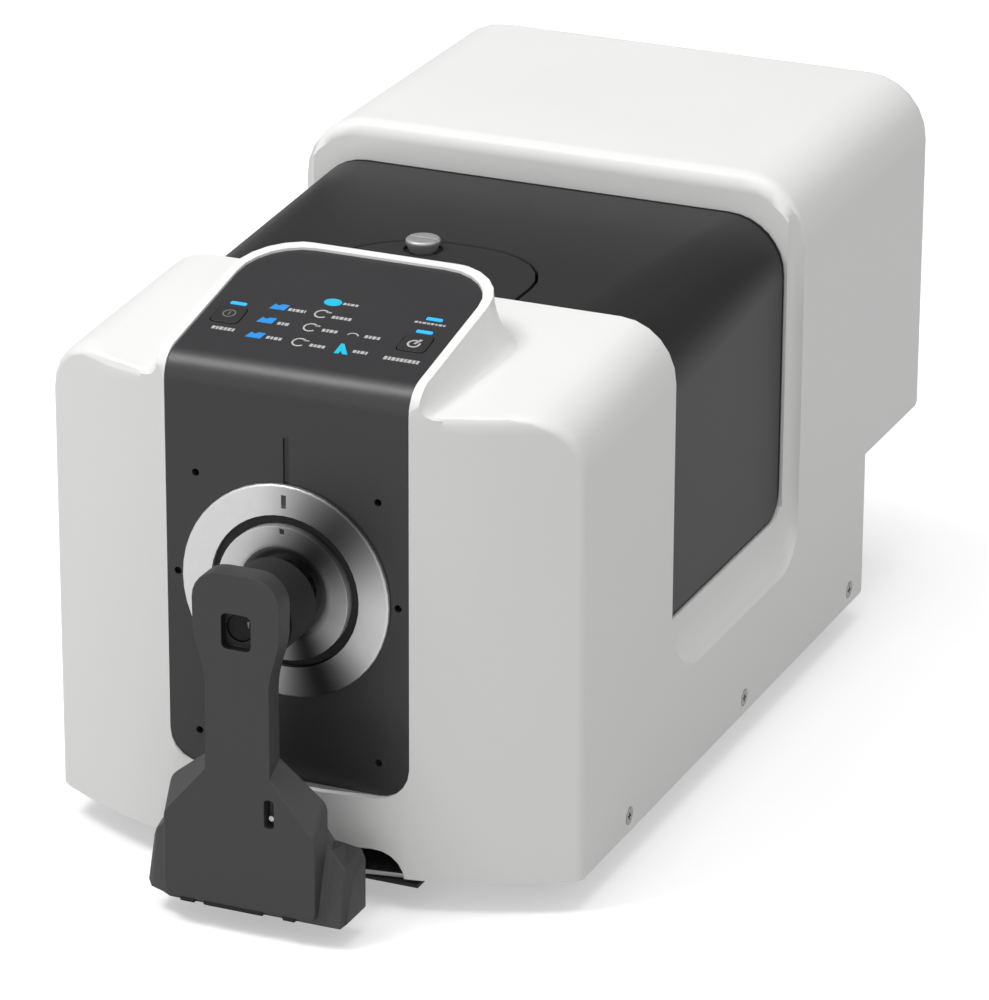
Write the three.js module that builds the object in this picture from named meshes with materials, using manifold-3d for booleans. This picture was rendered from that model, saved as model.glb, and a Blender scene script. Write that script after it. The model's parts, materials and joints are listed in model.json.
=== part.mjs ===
// Benchtop spectrophotometer: a white housing with a dark front and control panel, a measuring port with a
// sprung sample holder arm, a sample chamber under a saddle-shaped lid, and optics and electronics inside.
// Millimetres, +Z up. While it is drawn, Y = 0 is the plane that the front face is measured from; the last
// group moves the origin to the middle of the footprint, on the table.

import * as THREE from 'three';
import { mergeVertices } from 'three/addons/utils/BufferGeometryUtils.js';
import Module from 'manifold-3d';

const wasm = await Module();
wasm.setup();

// General
const clearance = 0.3; // between pieces that touch
const overrun = 10; // how far a cutting solid runs past what it cuts
const wall = 3; // moulded walls
const quarter = Math.PI / 2;

// Cover: overall
const width = 248;
const height = 250; // of the rear housing
const rearY = 456;
const coverBottom = 14.5;
const frontY = -5.5; // middle of the curved front
const faceRadius = 236; // of the curved front, seen from above
const faceCornerRadius = 5;
const topCornerRadius = 17; // how much rounder the plan corner gets towards the top
const shoulderHeight = 225.5; // at the front
const shoulderRise = 7.8; // from the front to the chamber
const shoulderRadius = 26; // along the sides
const creaseRadius = 3.5; // along the front edge
const lowerRearY = 383;
const lowerRearRadius = 8;
const overhangHeight = 83.5;
const rearTopRadius = 30;
const rearEdgeRadius = 8;
const frameDrop = 7; // how far the rear housing's front edge rolls down
const frameRoll = 10;

// Cover: chamber gap
const chamberFront = 130.5;
const chamberRear = 280;
const lipHeight = 89; // inner edge of the side lip
const lipOuterHeight = 64.5;
const lipDepth = 6;
const lipSweep = 6; // how far the rear edge sweeps back at the sides
const lipFrontRadius = 10;
const lipRearRadius = 12;
const lipOuterFrontRadius = 34;
const lipOuterRearRadius = 20;
const flangeDepth = 15;
const flangeBelowTop = 25;

// Cover: raised rim round the controls
const rimWidth = 4.5;
const rimFlare = 16;
const rimRearRadius = 29;
const rimFloor = 190;
const rimFlareShare = 0.9; // flare to height
const rimLeast = 0.5;
const rimProud = 1; // above the control face

// Cover: small openings
const archHalfWidth = 54;
const archHeight = 27.3;
const archRadius = 14;
const socketWindowHalfWidth = 73;
const socketWindowLow = 20;
const socketWindowHigh = 67;
const socketWindowRadius = 3;

// Front panel
const portHeight = 139;
const panelY = 1.5;
const panelThickness = 3;
const panelHalfWidth = 56;
const panelBottom = 51.5;
const panelBottomRadius = 14;
const panelTopY = 98;
const panelTopRadius = 25.5;
const bendAbovePort = 85.3;
const bendHeight = portHeight + bendAbovePort; // where the panel starts to bend back
const bendRadius = 13;
const slope = THREE.MathUtils.degToRad(11.6); // of the control face
const panelLedge = 2.5; // width of the ledge that the panel lies on
const panelLedgeThickness = 2.7;
const panelFrame = 6;
const panelFrameLap = 1;
const accessoryHoleRadius = 1.7;
const accessorySpacing = 84.4;
const accessoryAbovePort = 46.3;
const accessoryBelowPort = 72.5;
const accessorySideSpacing = 102.6;
const markWidth = 2.4;
const markLow = 187;
const markHigh = 207;
const markDepth = 0.7;

// Measuring port
const portHoleRadius = 44;
const ringRadius = 48;
const ringBore = 34.3;
const ringFront = -1.2;
const ringFlange = 2.4;
const ringDepth = 9.2;
const gasketThickness = 3.4;
const gasketFront = 0.8;
const maskRadius = 30.3;
const maskFront = -3.5;
const maskDish = 6; // depth of the seat
const maskCone = 1.5; // how far the face dips towards the seat
const maskSeatRadius = 16;
const maskDishRadius = 20.6;
const maskBore = 13;
const maskBack = 8;
const ringMarkLength = 4.9;
const ringMarkRadius = 41.2;
const maskMarkRadius = 27.8;
const maskMarkLength = 2.3;
const portMarkWidth = 2.2;
const portMarkDepth = 0.5;

// Buttons and lamps on the control face
const buttonSize = 13;
const buttonCorner = 2.5;
const buttonProud = 0.4;
const buttonFlange = 1.6;
const buttonFlangeThickness = 1.2;
const buttonTravel = 0.8;
const buttonStemRadius = 2;
const powerX = -44.4;
const measureX = 42;
const buttonAlong = 28.5;
const lampLength = 7.5;
const lampWidth = 2.4;
const lampAhead = 9.8;
const linkLampAhead = 20.4;
const controlBoardDepth = 8.6;
const boardThickness = 1.6;
const controlBoardHalfWidth = 49.5;
const controlBoardNear = 16;
const controlBoardFar = 72;
const bossRadius = 3;
const bossInset = 6;
const bossX = 30;

// Deck and lid over the chamber
const lidTop = 232.8;
const lidSkin = 2.5;
const lidSetIn = 7; // lid side behind the cover side
const lidFrontRadius = 42;
const lidRearRadius = 27;
const lidGap = 0.5;
const lidLift = 0.8; // above the lip
const lidFrontCorner = 9.5;
const lidRearCorner = 12.5;
const deckHalfWidth = 47.5;
const deckRear = 187.5;
const deckRadius = 40;
const deckGroove = 1.2;
const knobX = -15.5;
const knobY = 176;
const knobRadius = 7.8;
const knobWaist = 5.6;
const knobHeight = 6.5;
const knobRecessRadius = 8.8;
const knobRecessDepth = 1.6;
const knobStemRadius = 2.5;
const knobStemLength = 9;
const knobSlotWidth = 1.4;
const knobSlotDepth = 0.8;

// Floor pan, feet and screws
const panBottom = 13.2;
const panThickness = 2;
const panFlangeHeight = 19;
const panFlangeFront = 62;
const panFlangeRear = 372;
const panGap = 1.3;
const panRearGap = 2; // clear of the rounded rear corners
const footRadius = 12;
const footPlugRadius = 2.7;
const footPlugLength = 4;
const footSetIn = 32;
const footX = width / 2 - footSetIn;
const footFrontY = 61;
const footRearY = 350;
const footTaper = 1.5;
const screwHeight = 22;
const screwYs = [84, 222, 360];
const screwHeadRadius = 3.8;
const screwHeadDepth = 2.2;
const screwRadius = 1.5;
const screwLength = 7.5;
const screwSinkRadius = 4.5;
const screwDriveWidth = 0.9;
const screwDriveDepth = 0.9;

// Sample holder
const armFront = -48.2;
const armThickness = 10.5;
const pivotY = -30;
const pivotHeight = 28;
const headHalfWidth = 20.3;
const headTop = 164.4;
const headRadius = 13;
const headShoulder = 142; // where the head starts to narrow
const waistHalfWidth = 14.8;
const waistTop = 113;
const armBottom = 12;
const armLowHalfWidth = 35.2;
const armLowHalfBack = 36.8; // the same at its rear face
const shoulderFront = 50; // where the front face starts to narrow to the stem
const stemFootFront = 74.5;
const shoulderBack = 63; // the same at its rear edge
const stemFootBack = 80.7;
const shoulderCorner = 7;
const armFootRadius = 4;
const hubHalfWidth = 34;
const hubFront = -46;
const hubBack = -23.5;
const hubBottom = 10;
const hubTop = 55;
const hubTopBack = 40;
const hubSlant = 8.5; // how far the hub's front leans back towards its top
const earShoulder = 38.5; // where each ear starts to fall away
const earShoulderTop = 42;
const earShoulderBack = 39.5;
const earShoulderSlant = 8.5;
const earEdge = 45.5;
const earEdgeTop = 35;
const earEdgeBack = 38.5;
const earEdgeSlant = 6;
const earHalfWidth = 48;
const earTop = 30;
const earTopBack = 34.5;
const earFront = -43.5;
const earBack = -24.5;
const earBottom = 12;
const leftEarRounding = 5.5; // how much more the left ear's front is rounded
const windowWidth = 13.5;
const windowHeight = 16;
const windowCentre = 138.5;
const windowRadius = 2.5;
const windowDepth = 4.5;
const slotWidth = 4.3;
const slotX = 14.2;
const slotLow = 51.6;
const slotHigh = 64.6;
const slotDepth = 6;
const armScrewRadius = 1.2;
const armScrewHeight = 55.4;
const armScrewLength = 3;
const shaftRadius = 4;
const shaftHalfLength = 40;
const shaftPlay = 0.35;
const springCavityRadius = 9.4;
const springCoilRadius = 7.2;
const springWireRadius = 0.8;
const springHalfLength = 14;
const springCoils = 5;
const lugInner = 24;
const lugOuter = 30;
const lugRadius = 7.5;
const lugSwing = 1.5; // room round the lugs for the arm to turn
const lugPlay = 0.6;
const bracketThickness = 2;
const bracketHalfWidth = 60;
const bracketFront = 2;
const bracketRear = 32;
const padRadius = 18.9;
const padNoseRadius = 15.5;
const padNose = 3;
const padGap = 2; // between the pad and the mask, for a thin sample
const padEdge = 1;
const padStandOff = 4.5; // between the pad and the arm
const padStemSetBack = 5;
const padStemRadius = 6;
const padSpringRadius = 9;
const padSpringWireRadius = 0.6;
const padSpringCoils = 2;
const padPocketRadius = 10.6;
const padPocketDepth = 5;
const padSpringLength = 4.8;

// Integrating sphere and lamp
const sphereY = 68;
const sphereRadius = 60;
const sphereWall = 3;
const sphereFlangeRadius = 64;
const sphereFlangeThickness = 3;
const sphereFrontPort = 15;
const sphereRearPort = 12;
const sphereNeckRadius = 21;
const sphereSides = 16; // of the turned halves
const standThickness = 3;
const standHalfWidth = 50;
const standTop = 100;
const standFoot = 18;
const lampHousingHalfWidth = 20;
const lampHousingFront = 50;
const lampHousingRear = 86;
const lampHousingHeight = 17;
const lampHousingSkirt = 6; // reaches down beside the sphere's flanges
const flashRadius = 4;
const capacitorRadius = 16;
const capacitorHeight = 60;
const capacitorSetIn = 36;
const capacitorX = width / 2 - capacitorSetIn;
const capacitorY = 84;

// Optical bench, chamber lining and spectrometer
const benchTop = 92;
const benchThickness = 4;
const benchSetIn = 20;
const benchHalfWidth = width / 2 - benchSetIn;
const benchFront = 136;
const benchRear = 446;
const benchLegRadius = 5;
const benchLegInset = 10;
const benchLegX = benchHalfWidth - benchLegInset;
const benchLegYs = [146, 366];
const floorThickness = 2;
const chamberWall = 3;
const chamberWallSetIn = 0.8;
const chamberWallFoot = 14; // radius of the walls' lower corners, clear of the cover's lip
const opticBore = 14;
const glassThickness = 3;
const glassRadius = 16;
const glassSeat = 2;
const spectrometerSetIn = 44;
const spectrometerBelowTop = 35;
const spectrometerHalfWidth = width / 2 - spectrometerSetIn;
const spectrometerFront = 298;
const spectrometerRear = 440;
const spectrometerTop = height - spectrometerBelowTop;
const slitRadius = 6;
const gratingWidth = 44;
const gratingThickness = 9;
const gratingStand = 70;
const detectorX = 45;
const detectorWidth = 50;
const detectorHeight = 60;

// Shutter behind the sphere
const shutterX = 26;
const shutterY = 152;
const shutterMotorRadius = 9;
const shutterMotorLength = 16;
const shutterShaftRadius = 1.5;
const shutterShaftLength = 6;
const shutterBladeRadius = 16;
const shutterBladeThickness = 1.5;
const shutterHubRadius = 5;

// Boards and rear connectors
const boardHeight = 20;
const boardPostRadius = 4;
const mainBoardSetIn = 46;
const mainBoardHalfWidth = width / 2 - mainBoardSetIn;
const mainBoardFront = 168;
const mainBoardRear = 282;
const powerBoardFront = 296;
const powerBoardRear = 356;
const powerBoardSetIn = 56;
const powerBoardHalfWidth = width / 2 - powerBoardSetIn;
const boardPostInset = 8;
const chipSize = 24;
const chipHeight = 3;
const rearPanelThickness = 2.4;
const rearPanelHalfWidth = 80;
const rearPanelTop = 74;
const socketHeight = 44;
const powerSocketX = 44;
const powerSocketRadius = 6.5;
const powerSocketBore = 4.6;
const socketDepth = 14;
const powerPinRadius = 1.2;
const powerPinStart = 4.6;
const usbBX = 4;
const usbBWidth = 12.4;
const usbBHeight = 11.4;
const usbBWall = 1.6;
const usbAX = -32;
const usbAWidth = 15.6;
const usbAHeight = 8;
const usbAWall = 1.3;
const usbBTongue = 4.4;
const usbATongue = 10.4;
const usbATongueThickness = 1.6;
const tongueStart = 3;

const finish = (color, roughness, metalness) => new THREE.MeshStandardMaterial(
  { color, roughness, metalness });
const white = finish(0xe4e4e3, 0.45, 0);
const darkPanel = finish(0x454345, 0.5, 0);
const darkLid = finish(0x3c3b3c, 0.6, 0);
const darkArm = finish(0x4a494a, 0.55, 0);
const silver = finish(0xb9b9ba, 0.35, 1);
const steel = finish(0x8a8b8c, 0.4, 1);
const black = finish(0x161616, 0.6, 0);
const rubber = finish(0x1c1c1c, 0.9, 0);
const blue = finish(0x2fa9e8, 0.3, 0);
const sphereWhite = finish(0xf2f2ee, 0.9, 0);
const board = finish(0x1f5a37, 0.6, 0);
const glass = finish(0xcfe0e6, 0.1, 0);

// Geometry to solid and back

function solidOf(geometry) {
  geometry.deleteAttribute('normal');
  geometry.deleteAttribute('uv');
  const merged = mergeVertices(geometry);
  const corners = merged.index.array;
  const places = merged.attributes.position.array;
  const kept = [];
  const at = (i) => new THREE.Vector3().fromArray(places, i * 3);
  let volume = 0;
  for (let i = 0; i < corners.length; i += 3) {
    const [a, b, c] = corners.slice(i, i + 3);
    if (a === b || b === c || c === a) continue;
    kept.push(a, b, c);
    volume += at(a).dot(at(b).cross(at(c)));
  }
  if (volume < 0) kept.reverse();
  const mesh = new wasm.Mesh({
    numProp: 3,
    vertProperties: new Float32Array(places),
    triVerts: Uint32Array.from(kept),
  });
  return new wasm.Manifold(mesh);
}

function geometryOf(solid) {
  const mesh = solid.getMesh();
  const geometry = new THREE.BufferGeometry();
  geometry.setAttribute('position', new THREE.BufferAttribute(mesh.vertProperties, 3));
  geometry.setIndex(new THREE.BufferAttribute(mesh.triVerts, 1));
  geometry.computeVertexNormals();
  return geometry;
}

const instrument = new THREE.Group();

function piece(name, solid, material, parent = instrument) {
  const mesh = new THREE.Mesh(geometryOf(solid), material);
  mesh.name = name;
  parent.add(mesh);
  return mesh;
}

const joined = (...solids) => solids.reduce((whole, next) => whole.add(next));
const moved = (solid, x, y, z) => solid.translate([x, y, z]);
const mirrored = (solid) => solid.mirror([1, 0, 0]);

// Outlines and the solids made from them

const points = (...pairs) => pairs.map(([a, b]) => new THREE.Vector2(a, b));

function arc(x, y, radius, from, to, steps) {
  const points = [];
  for (let i = 0; i <= steps; i += 1) {
    const angle = from + ((to - from) * i) / steps;
    points.push(new THREE.Vector2(x + radius * Math.cos(angle), y + radius * Math.sin(angle)));
  }
  return points;
}

const circle = (x, y, radius, steps = 32) => arc(
  x, y, radius, 0, (2 * Math.PI * (steps - 1)) / steps, steps - 1);

// Corner radii run from the lower left round to the upper left
function roundedBox(left, low, right, high, radii, steps = 5) {
  const [a, b, c, d] = Array.isArray(radii) ? radii : [radii, radii, radii, radii];
  const corner = (x, y, radius, from) => (radius > 0 ? arc(x, y, radius, from, from + quarter, steps)
    : [new THREE.Vector2(x, y)]);
  return [
    ...corner(left + a, low + a, a, Math.PI),
    ...corner(right - b, low + b, b, 3 * quarter),
    ...corner(right - c, high - c, c, 0),
    ...corner(left + d, high - d, d, quarter),
  ];
}

// Extrudes an outline along one axis: z takes (x, y), y takes (x, z) and x takes (y, z)
function prism(axis, outline, from, to, holes = []) {
  const shape = new THREE.Shape(outline);
  holes.forEach((hole) => shape.holes.push(new THREE.Path(hole)));
  const geometry = new THREE.ExtrudeGeometry(shape, { depth: to - from, bevelEnabled: false });
  if (axis === 'z') geometry.translate(0, 0, from);
  if (axis === 'y') geometry.rotateX(quarter).translate(0, to, 0);
  if (axis === 'x') {
    const turn = new THREE.Matrix4().makeBasis(
      new THREE.Vector3(0, 1, 0), new THREE.Vector3(0, 0, 1), new THREE.Vector3(1, 0, 0));
    geometry.applyMatrix4(turn).translate(from, 0, 0);
  }
  return solidOf(geometry);
}

const box = (low, high) => {
  const size = high.map((value, i) => value - low[i]);
  const geometry = new THREE.BoxGeometry(...size);
  geometry.translate(...low.map((value, i) => value + size[i] / 2));
  return solidOf(geometry);
};

const rod = (axis, a, b, radius, from, to, steps = 24) => prism(axis, circle(a, b, radius, steps), from, to);

// Turns a closed profile of (radius, along) about an axis through (x, z) that runs along Y
function turnedY(profile, x, z, steps = 40) {
  const geometry = new THREE.LatheGeometry([...profile, profile[0]], steps);
  geometry.translate(x, 0, z);
  return solidOf(geometry);
}

// The same about a vertical axis through (x, y)
function turnedZ(profile, x, y, steps = 32) {
  const geometry = new THREE.LatheGeometry([...profile, profile[0]], steps);
  geometry.rotateX(quarter).translate(x, y, 0);
  return solidOf(geometry);
}

// A profile of (radius, depth) about the X axis, from its face at X = 0 inwards
function turnedX(profile, steps = 14) {
  const geometry = new THREE.LatheGeometry(points(...profile, profile[0]), steps);
  geometry.rotateZ(quarter);
  return solidOf(geometry);
}

// Joins rings of equally many points, each ring seen round from its own middle
function loft(rings, ends) {
  const count = rings[0].length;
  const all = rings.flat();
  const middle = (ring) => ring.reduce((sum, p) => sum.add(p), new THREE.Vector3()).divideScalar(count);
  const faces = [];
  const last = (rings.length - 1) * count;
  if (ends) {
    const [first, final] = ends.map((outline) => THREE.ShapeUtils.triangulateShape(outline, []));
    first.forEach(([a, b, c]) => faces.push(c, b, a));
    final.forEach(([a, b, c]) => faces.push(last + a, last + b, last + c));
  } else {
    all.push(middle(rings[0]), middle(rings[rings.length - 1]));
  }
  for (let i = 0; i < count; i += 1) {
    const next = (i + 1) % count;
    for (let r = 0; r < last; r += count) {
      faces.push(r + i, r + next, r + count + next, r + i, r + count + next, r + count + i);
    }
    if (!ends) faces.push(all.length - 2, next, i, all.length - 1, last + i, last + next);
  }
  const geometry = new THREE.BufferGeometry().setFromPoints(all);
  geometry.setIndex(faces);
  return solidOf(geometry);
}

// A wire that winds evenly round the X axis, or round Y when turned
function coil(name, radius, wireRadius, length, turns) {
  const stepsPerTurn = 8;
  const sides = 5;
  const rings = [];
  const line = [];
  for (let i = 0; i <= turns * stepsPerTurn; i += 1) {
    const angle = (i * 2 * Math.PI) / stepsPerTurn;
    const along = wireRadius + ((length - 2 * wireRadius) * i) / (turns * stepsPerTurn);
    rings.push(circle(0, 0, wireRadius, sides).map((p) => new THREE.Vector3(
      along + p.x, (radius + p.y) * Math.cos(angle), (radius + p.y) * Math.sin(angle))));
    line.push(new THREE.Vector3(along, radius * Math.cos(angle), radius * Math.sin(angle)));
  }
  const gaps = line.flatMap((p, i) => line.slice(i + stepsPerTurn / 2).map((q) => p.distanceTo(q)));
  console.log(name, 'least gap between turns', (Math.min(...gaps) - wireRadius * 2).toFixed(2));
  return loft(rings);
}

// Cover

// Curves inside the cover are coarser than those that show
const stepsFor = (inset, steps) => (inset > 0 ? Math.ceil(steps / 2) : steps);
const faceCentre = (inset) => frontY + inset + (faceRadius - inset);

// Plan outline with the curved front: side and front insets, and the corner radius between them
function planOutline(sideInset, frontInset, cornerRadius, rear, wallInset) {
  const half = width / 2 - sideInset - wallInset;
  const radius = faceRadius - frontInset - wallInset;
  const centreY = faceCentre(wallInset);
  const filletX = half - cornerRadius;
  const filletY = centreY - Math.sqrt((radius - cornerRadius) ** 2 - filletX ** 2);
  const turn = Math.atan2(filletY - centreY, filletX);
  const steps = stepsFor(wallInset, 14);
  return [
    new THREE.Vector2(-half, rear),
    ...arc(-filletX, filletY, cornerRadius, Math.PI, Math.PI - turn, 4),
    ...arc(0, centreY, radius, Math.PI - turn, 2 * Math.PI + turn, steps).slice(1, -1),
    ...arc(filletX, filletY, cornerRadius, 2 * Math.PI + turn, 2 * Math.PI, 4),
    new THREE.Vector2(half, rear),
  ];
}

function shoulderTop(y) {
  return shoulderHeight + (shoulderRise * (y - frontY)) / (chamberFront - frontY);
}

function frontShell(inset) {
  const bottom = inset > 0 ? coverBottom - overrun : coverBottom;
  const top = shoulderHeight - inset;
  const radius = shoulderRadius - inset;
  const crease = creaseRadius - inset;
  const rear = chamberFront + lipOuterFrontRadius;
  const levels = [bottom];
  const steps = stepsFor(inset, 6);
  for (let i = 0; i <= steps; i += 1) levels.push(top - radius * (1 - Math.sin((quarter * i) / steps)));
  const roll = (size, z) => size - Math.sqrt(size ** 2 - Math.max(0, z - (top - size)) ** 2);
  return loft(levels.map((z) => {
    const side = roll(radius, z);
    const corner = Math.max(faceCornerRadius - inset, wall / 2) + (topCornerRadius * side) / radius;
    return planOutline(side, roll(crease, z), corner, rear, inset).map((p) => {
      const lift = (Math.max(0, z - coverBottom) / (top - coverBottom)) * (shoulderTop(p.y) - shoulderHeight);
      return new THREE.Vector3(p.x, p.y, z + lift);
    });
  }));
}

function lowerBody(inset) {
  const half = width / 2 - inset;
  const low = inset > 0 ? coverBottom - overrun : coverBottom;
  const radius = lowerRearRadius - inset;
  const outline = roundedBox(-half, chamberFront - lipOuterFrontRadius, half, lowerRearY - inset,
    [0, 0, radius, radius]);
  return prism('z', outline, low, overhangHeight + overrun - inset);
}

function rearBody(inset) {
  const half = width / 2 - inset;
  const frontEnd = inset > 0 ? chamberRear - overrun : chamberRear;
  const steps = stepsFor(inset, 4);
  const roll = (share) => 1 - Math.sqrt(1 - share ** 2);
  const stations = [];
  for (let i = 0; i <= steps; i += 1) {
    const share = 1 - Math.sin((quarter * i) / steps);
    const y = chamberRear + frameRoll * (1 - share);
    stations.push({ y: i === 0 ? frontEnd : y, drop: frameDrop * roll(share), shrink: 0 });
  }
  const edge = rearEdgeRadius - inset;
  for (let i = 0; i <= steps; i += 1) {
    const share = Math.sin((quarter * i) / steps);
    stations.push({ y: rearY - inset - edge * (1 - share), drop: 0, shrink: edge * roll(share) });
  }
  return loft(stations.map(({ y, drop, shrink }) => {
    const radius = rearTopRadius - inset - shrink;
    const side = half - shrink;
    const ring = roundedBox(-side, overhangHeight + inset + shrink, side, height - inset - drop - shrink,
      [wall - shrink / 4, wall - shrink / 4, radius, radius], stepsFor(inset, 6));
    return ring.map((p) => new THREE.Vector3(p.x, y, p.y));
  }));
}

// Side profile of the control face, a distance behind its surface
function panelPath(behind) {
  const centre = panelY + bendRadius;
  const bend = arc(centre, bendHeight, bendRadius - behind, Math.PI, quarter + slope, 6);
  const last = bend[bend.length - 1];
  const run = panelTopY + overrun * 2;
  return [
    new THREE.Vector2(panelY + behind, panelBottom - overrun * 2),
    ...bend,
    new THREE.Vector2(last.x + run, last.y + run * Math.tan(slope)),
  ];
}

// The panel's volume between two depths behind its surface, its outline grown by a margin
function panelVolume(grow, from, to) {
  const half = panelHalfWidth + grow;
  const band = prism('x', [...panelPath(from), ...panelPath(to).reverse()], -half - overrun, half + overrun);
  const front = prism('y', roundedBox(-half, panelBottom - grow, half, height + overrun * 4,
    [panelBottomRadius + grow, panelBottomRadius + grow, 0, 0]), -overrun * 4, rearY);
  const above = prism('z', roundedBox(-half, -overrun * 4, half, panelTopY + grow,
    [0, 0, panelTopRadius + grow, panelTopRadius + grow], 6), 0, height + overrun * 4);
  return band.intersect(front).intersect(above);
}

// Height of the control face, a distance behind its surface
function slopeHeight(y, behind = 0) {
  const end = panelPath(behind).at(-2);
  return end.y + (y - end.x) * Math.tan(slope);
}

// What lies in front of the panel's bend, as wide as the rim
function bendCut(inset) {
  const path = panelPath(inset).slice(1);
  const far = height + overrun * 4;
  const outline = [...path, ...points([path.at(-1).x, far], [-overrun * 4, far], [-overrun * 4, bendHeight])];
  const half = panelHalfWidth + rimWidth;
  return prism('x', outline, -half, half);
}

// The raised rim: sections across it, whose sides flare out onto the shoulders
function rim(inset) {
  const rear = panelTopY + rimWidth + clearance - inset;
  const straight = rear - rimRearRadius;
  const stations = panelPath(inset).slice(1, -1).map((p) => [p.x, p.y + rimProud]);
  const steps = stepsFor(inset, 6);
  for (let i = 0; i <= steps; i += 1) {
    const y = straight + rimRearRadius * Math.sin((quarter * i) / steps);
    stations.push([y, slopeHeight(y, inset) + rimProud]);
  }
  const face = prism('z', planOutline(0, 0, faceCornerRadius, chamberFront, inset), 0, height + overrun * 2);
  return face.intersect(loft(stations.map(([y, top]) => {
    const round = rimRearRadius - Math.sqrt(rimRearRadius ** 2 - Math.max(0, y - straight) ** 2);
    const half = panelHalfWidth + rimWidth - round - inset;
    const rise = Math.max(rimLeast, top - (shoulderTop(y) - wall / 2 - inset));
    const flare = Math.min(rimFlare, Math.max(rimLeast, rise * rimFlareShare));
    const side = arc(1, 1, 1, Math.PI, 3 * quarter, stepsFor(inset, 5)).map(
      (p) => new THREE.Vector2(half + flare * p.x, top - rise * (1 - p.y)));
    const right = [...side, new THREE.Vector2(half + flare, rimFloor)];
    const left = right.map((p) => new THREE.Vector2(-p.x, p.y)).reverse();
    return [...right, ...left].map((p) => new THREE.Vector3(p.x, y, p.y));
  })));
}

// The saddle-shaped gap, grown by a margin: a scooped lip leads in from the side faces
function chamberGap(grow) {
  const inner = width / 2 - lipDepth;
  const section = (x, share) => {
    const blend = (a, b) => a + (b - a) * share;
    const sweep = lipSweep * share;
    const low = blend(lipHeight, lipOuterHeight) - grow;
    const outline = roundedBox(chamberFront - grow, low, chamberRear + sweep + grow, height + overrun * 4,
      [blend(lipFrontRadius, lipOuterFrontRadius), blend(lipRearRadius, lipOuterRearRadius), 0, 0],
      stepsFor(grow, 6));
    return outline.map((p) => new THREE.Vector3(x, p.x, p.y));
  };
  const steps = stepsFor(grow, 4);
  const side = [];
  for (let i = 0; i <= steps; i += 1) {
    const turn = (quarter * i) / steps;
    side.push([inner + lipDepth * (1 - Math.cos(turn)), Math.sin(turn)]);
  }
  side.push([width / 2 + overrun, 1]);
  const places = side.map(([x, share], i) => [x - (i < side.length - 1 ? grow : 0), share]);
  const right = places.map(([x, share]) => section(x, share));
  const left = places.map(([x, share]) => section(-x, share)).reverse();
  return loft([...left, ...right]);
}

function coverShell() {
  const body = (inset) => joined(
    frontShell(inset).subtract(bendCut(inset)), rim(inset), lowerBody(inset), rearBody(inset));
  const core = prism('y', roundedBox(flangeDepth - width / 2, -overrun, width / 2 - flangeDepth,
    height - flangeBelowTop, [0, 0, shoulderRadius - flangeDepth, shoulderRadius - flangeDepth]),
  chamberFront - overrun, chamberRear + overrun * 2);
  const flange = chamberGap(wall).subtract(core);
  const outer = body(0);
  const frame = panelVolume(panelFrame, panelFrameLap, panelThickness + clearance + panelLedgeThickness)
    .intersect(outer);
  return outer.subtract(chamberGap(0)).subtract(body(wall).subtract(flange)).add(frame)
    .subtract(panelVolume(clearance, -overrun * 4, panelThickness + clearance))
    .subtract(panelVolume(-panelLedge, -overrun, overrun * 2));
}

const archCut = prism('y', roundedBox(-archHalfWidth, -overrun, archHalfWidth, archHeight,
  [0, 0, archRadius, archRadius]), frontY - overrun, frontY + overrun * 2);
const socketWindow = prism('y', roundedBox(-socketWindowHalfWidth, socketWindowLow, socketWindowHalfWidth,
  socketWindowHigh, socketWindowRadius), lowerRearY - overrun, lowerRearY + overrun);
const screwSink = turnedX([[0, 0], [screwSinkRadius, 0],
  [screwRadius + clearance, screwHeadDepth + clearance * 2], [screwRadius + clearance, wall + overrun],
  [0, wall + overrun]]);
let cover = coverShell().subtract(archCut).subtract(socketWindow);
screwYs.forEach((y) => {
  const sink = moved(screwSink, width / 2, y, screwHeight);
  cover = cover.subtract(sink).subtract(mirrored(sink));
});
piece('main_cover', cover, white);

// Front panel

const port = (radius, from, to, steps) => rod('y', 0, portHeight, radius, from, to, steps);
const accessoryHoles = [
  [-accessorySpacing / 2, portHeight + accessoryAbovePort],
  [accessorySpacing / 2, portHeight + accessoryAbovePort],
  [-accessorySpacing / 2, portHeight - accessoryBelowPort],
  [accessorySpacing / 2, portHeight - accessoryBelowPort],
  [-accessorySideSpacing / 2, portHeight],
  [accessorySideSpacing / 2, portHeight],
];

// The control face's own frame: X across, Y up the slope from the end of the bend, Z out of the face
const bendEnd = panelPath(0).at(-2);
const controls = new THREE.Group();
controls.position.set(0, bendEnd.x, bendEnd.y);
controls.rotation.x = slope;
instrument.add(controls);
controls.updateMatrix();
const onControls = (solid) => solid.transform(controls.matrix.elements);

const square = (x, y, half, radius, from, to) => prism(
  'z', roundedBox(x - half, y - half, x + half, y + half, radius, 3), from, to);
const bar = (x, y, grow, from, to) => {
  const [across, along] = [lampLength / 2 + grow, lampWidth / 2 + grow];
  return prism('z', roundedBox(x - across, y - along, x + across, y + along, lampWidth / 4, 2), from, to);
};
const buttons = [['power_button', powerX], ['measure_button', measureX]];
const lamps = [
  ['power_lamp', powerX, buttonAlong + lampAhead],
  ['measure_lamp', measureX, buttonAlong + lampAhead],
  ['link_lamp', measureX, buttonAlong + linkLampAhead],
];
const bosses = [-1, 1].flatMap((side) => [controlBoardNear, controlBoardFar].map((y, i) => [
  side * bossX, y + (i === 0 ? bossInset : -bossInset)]));

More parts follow.
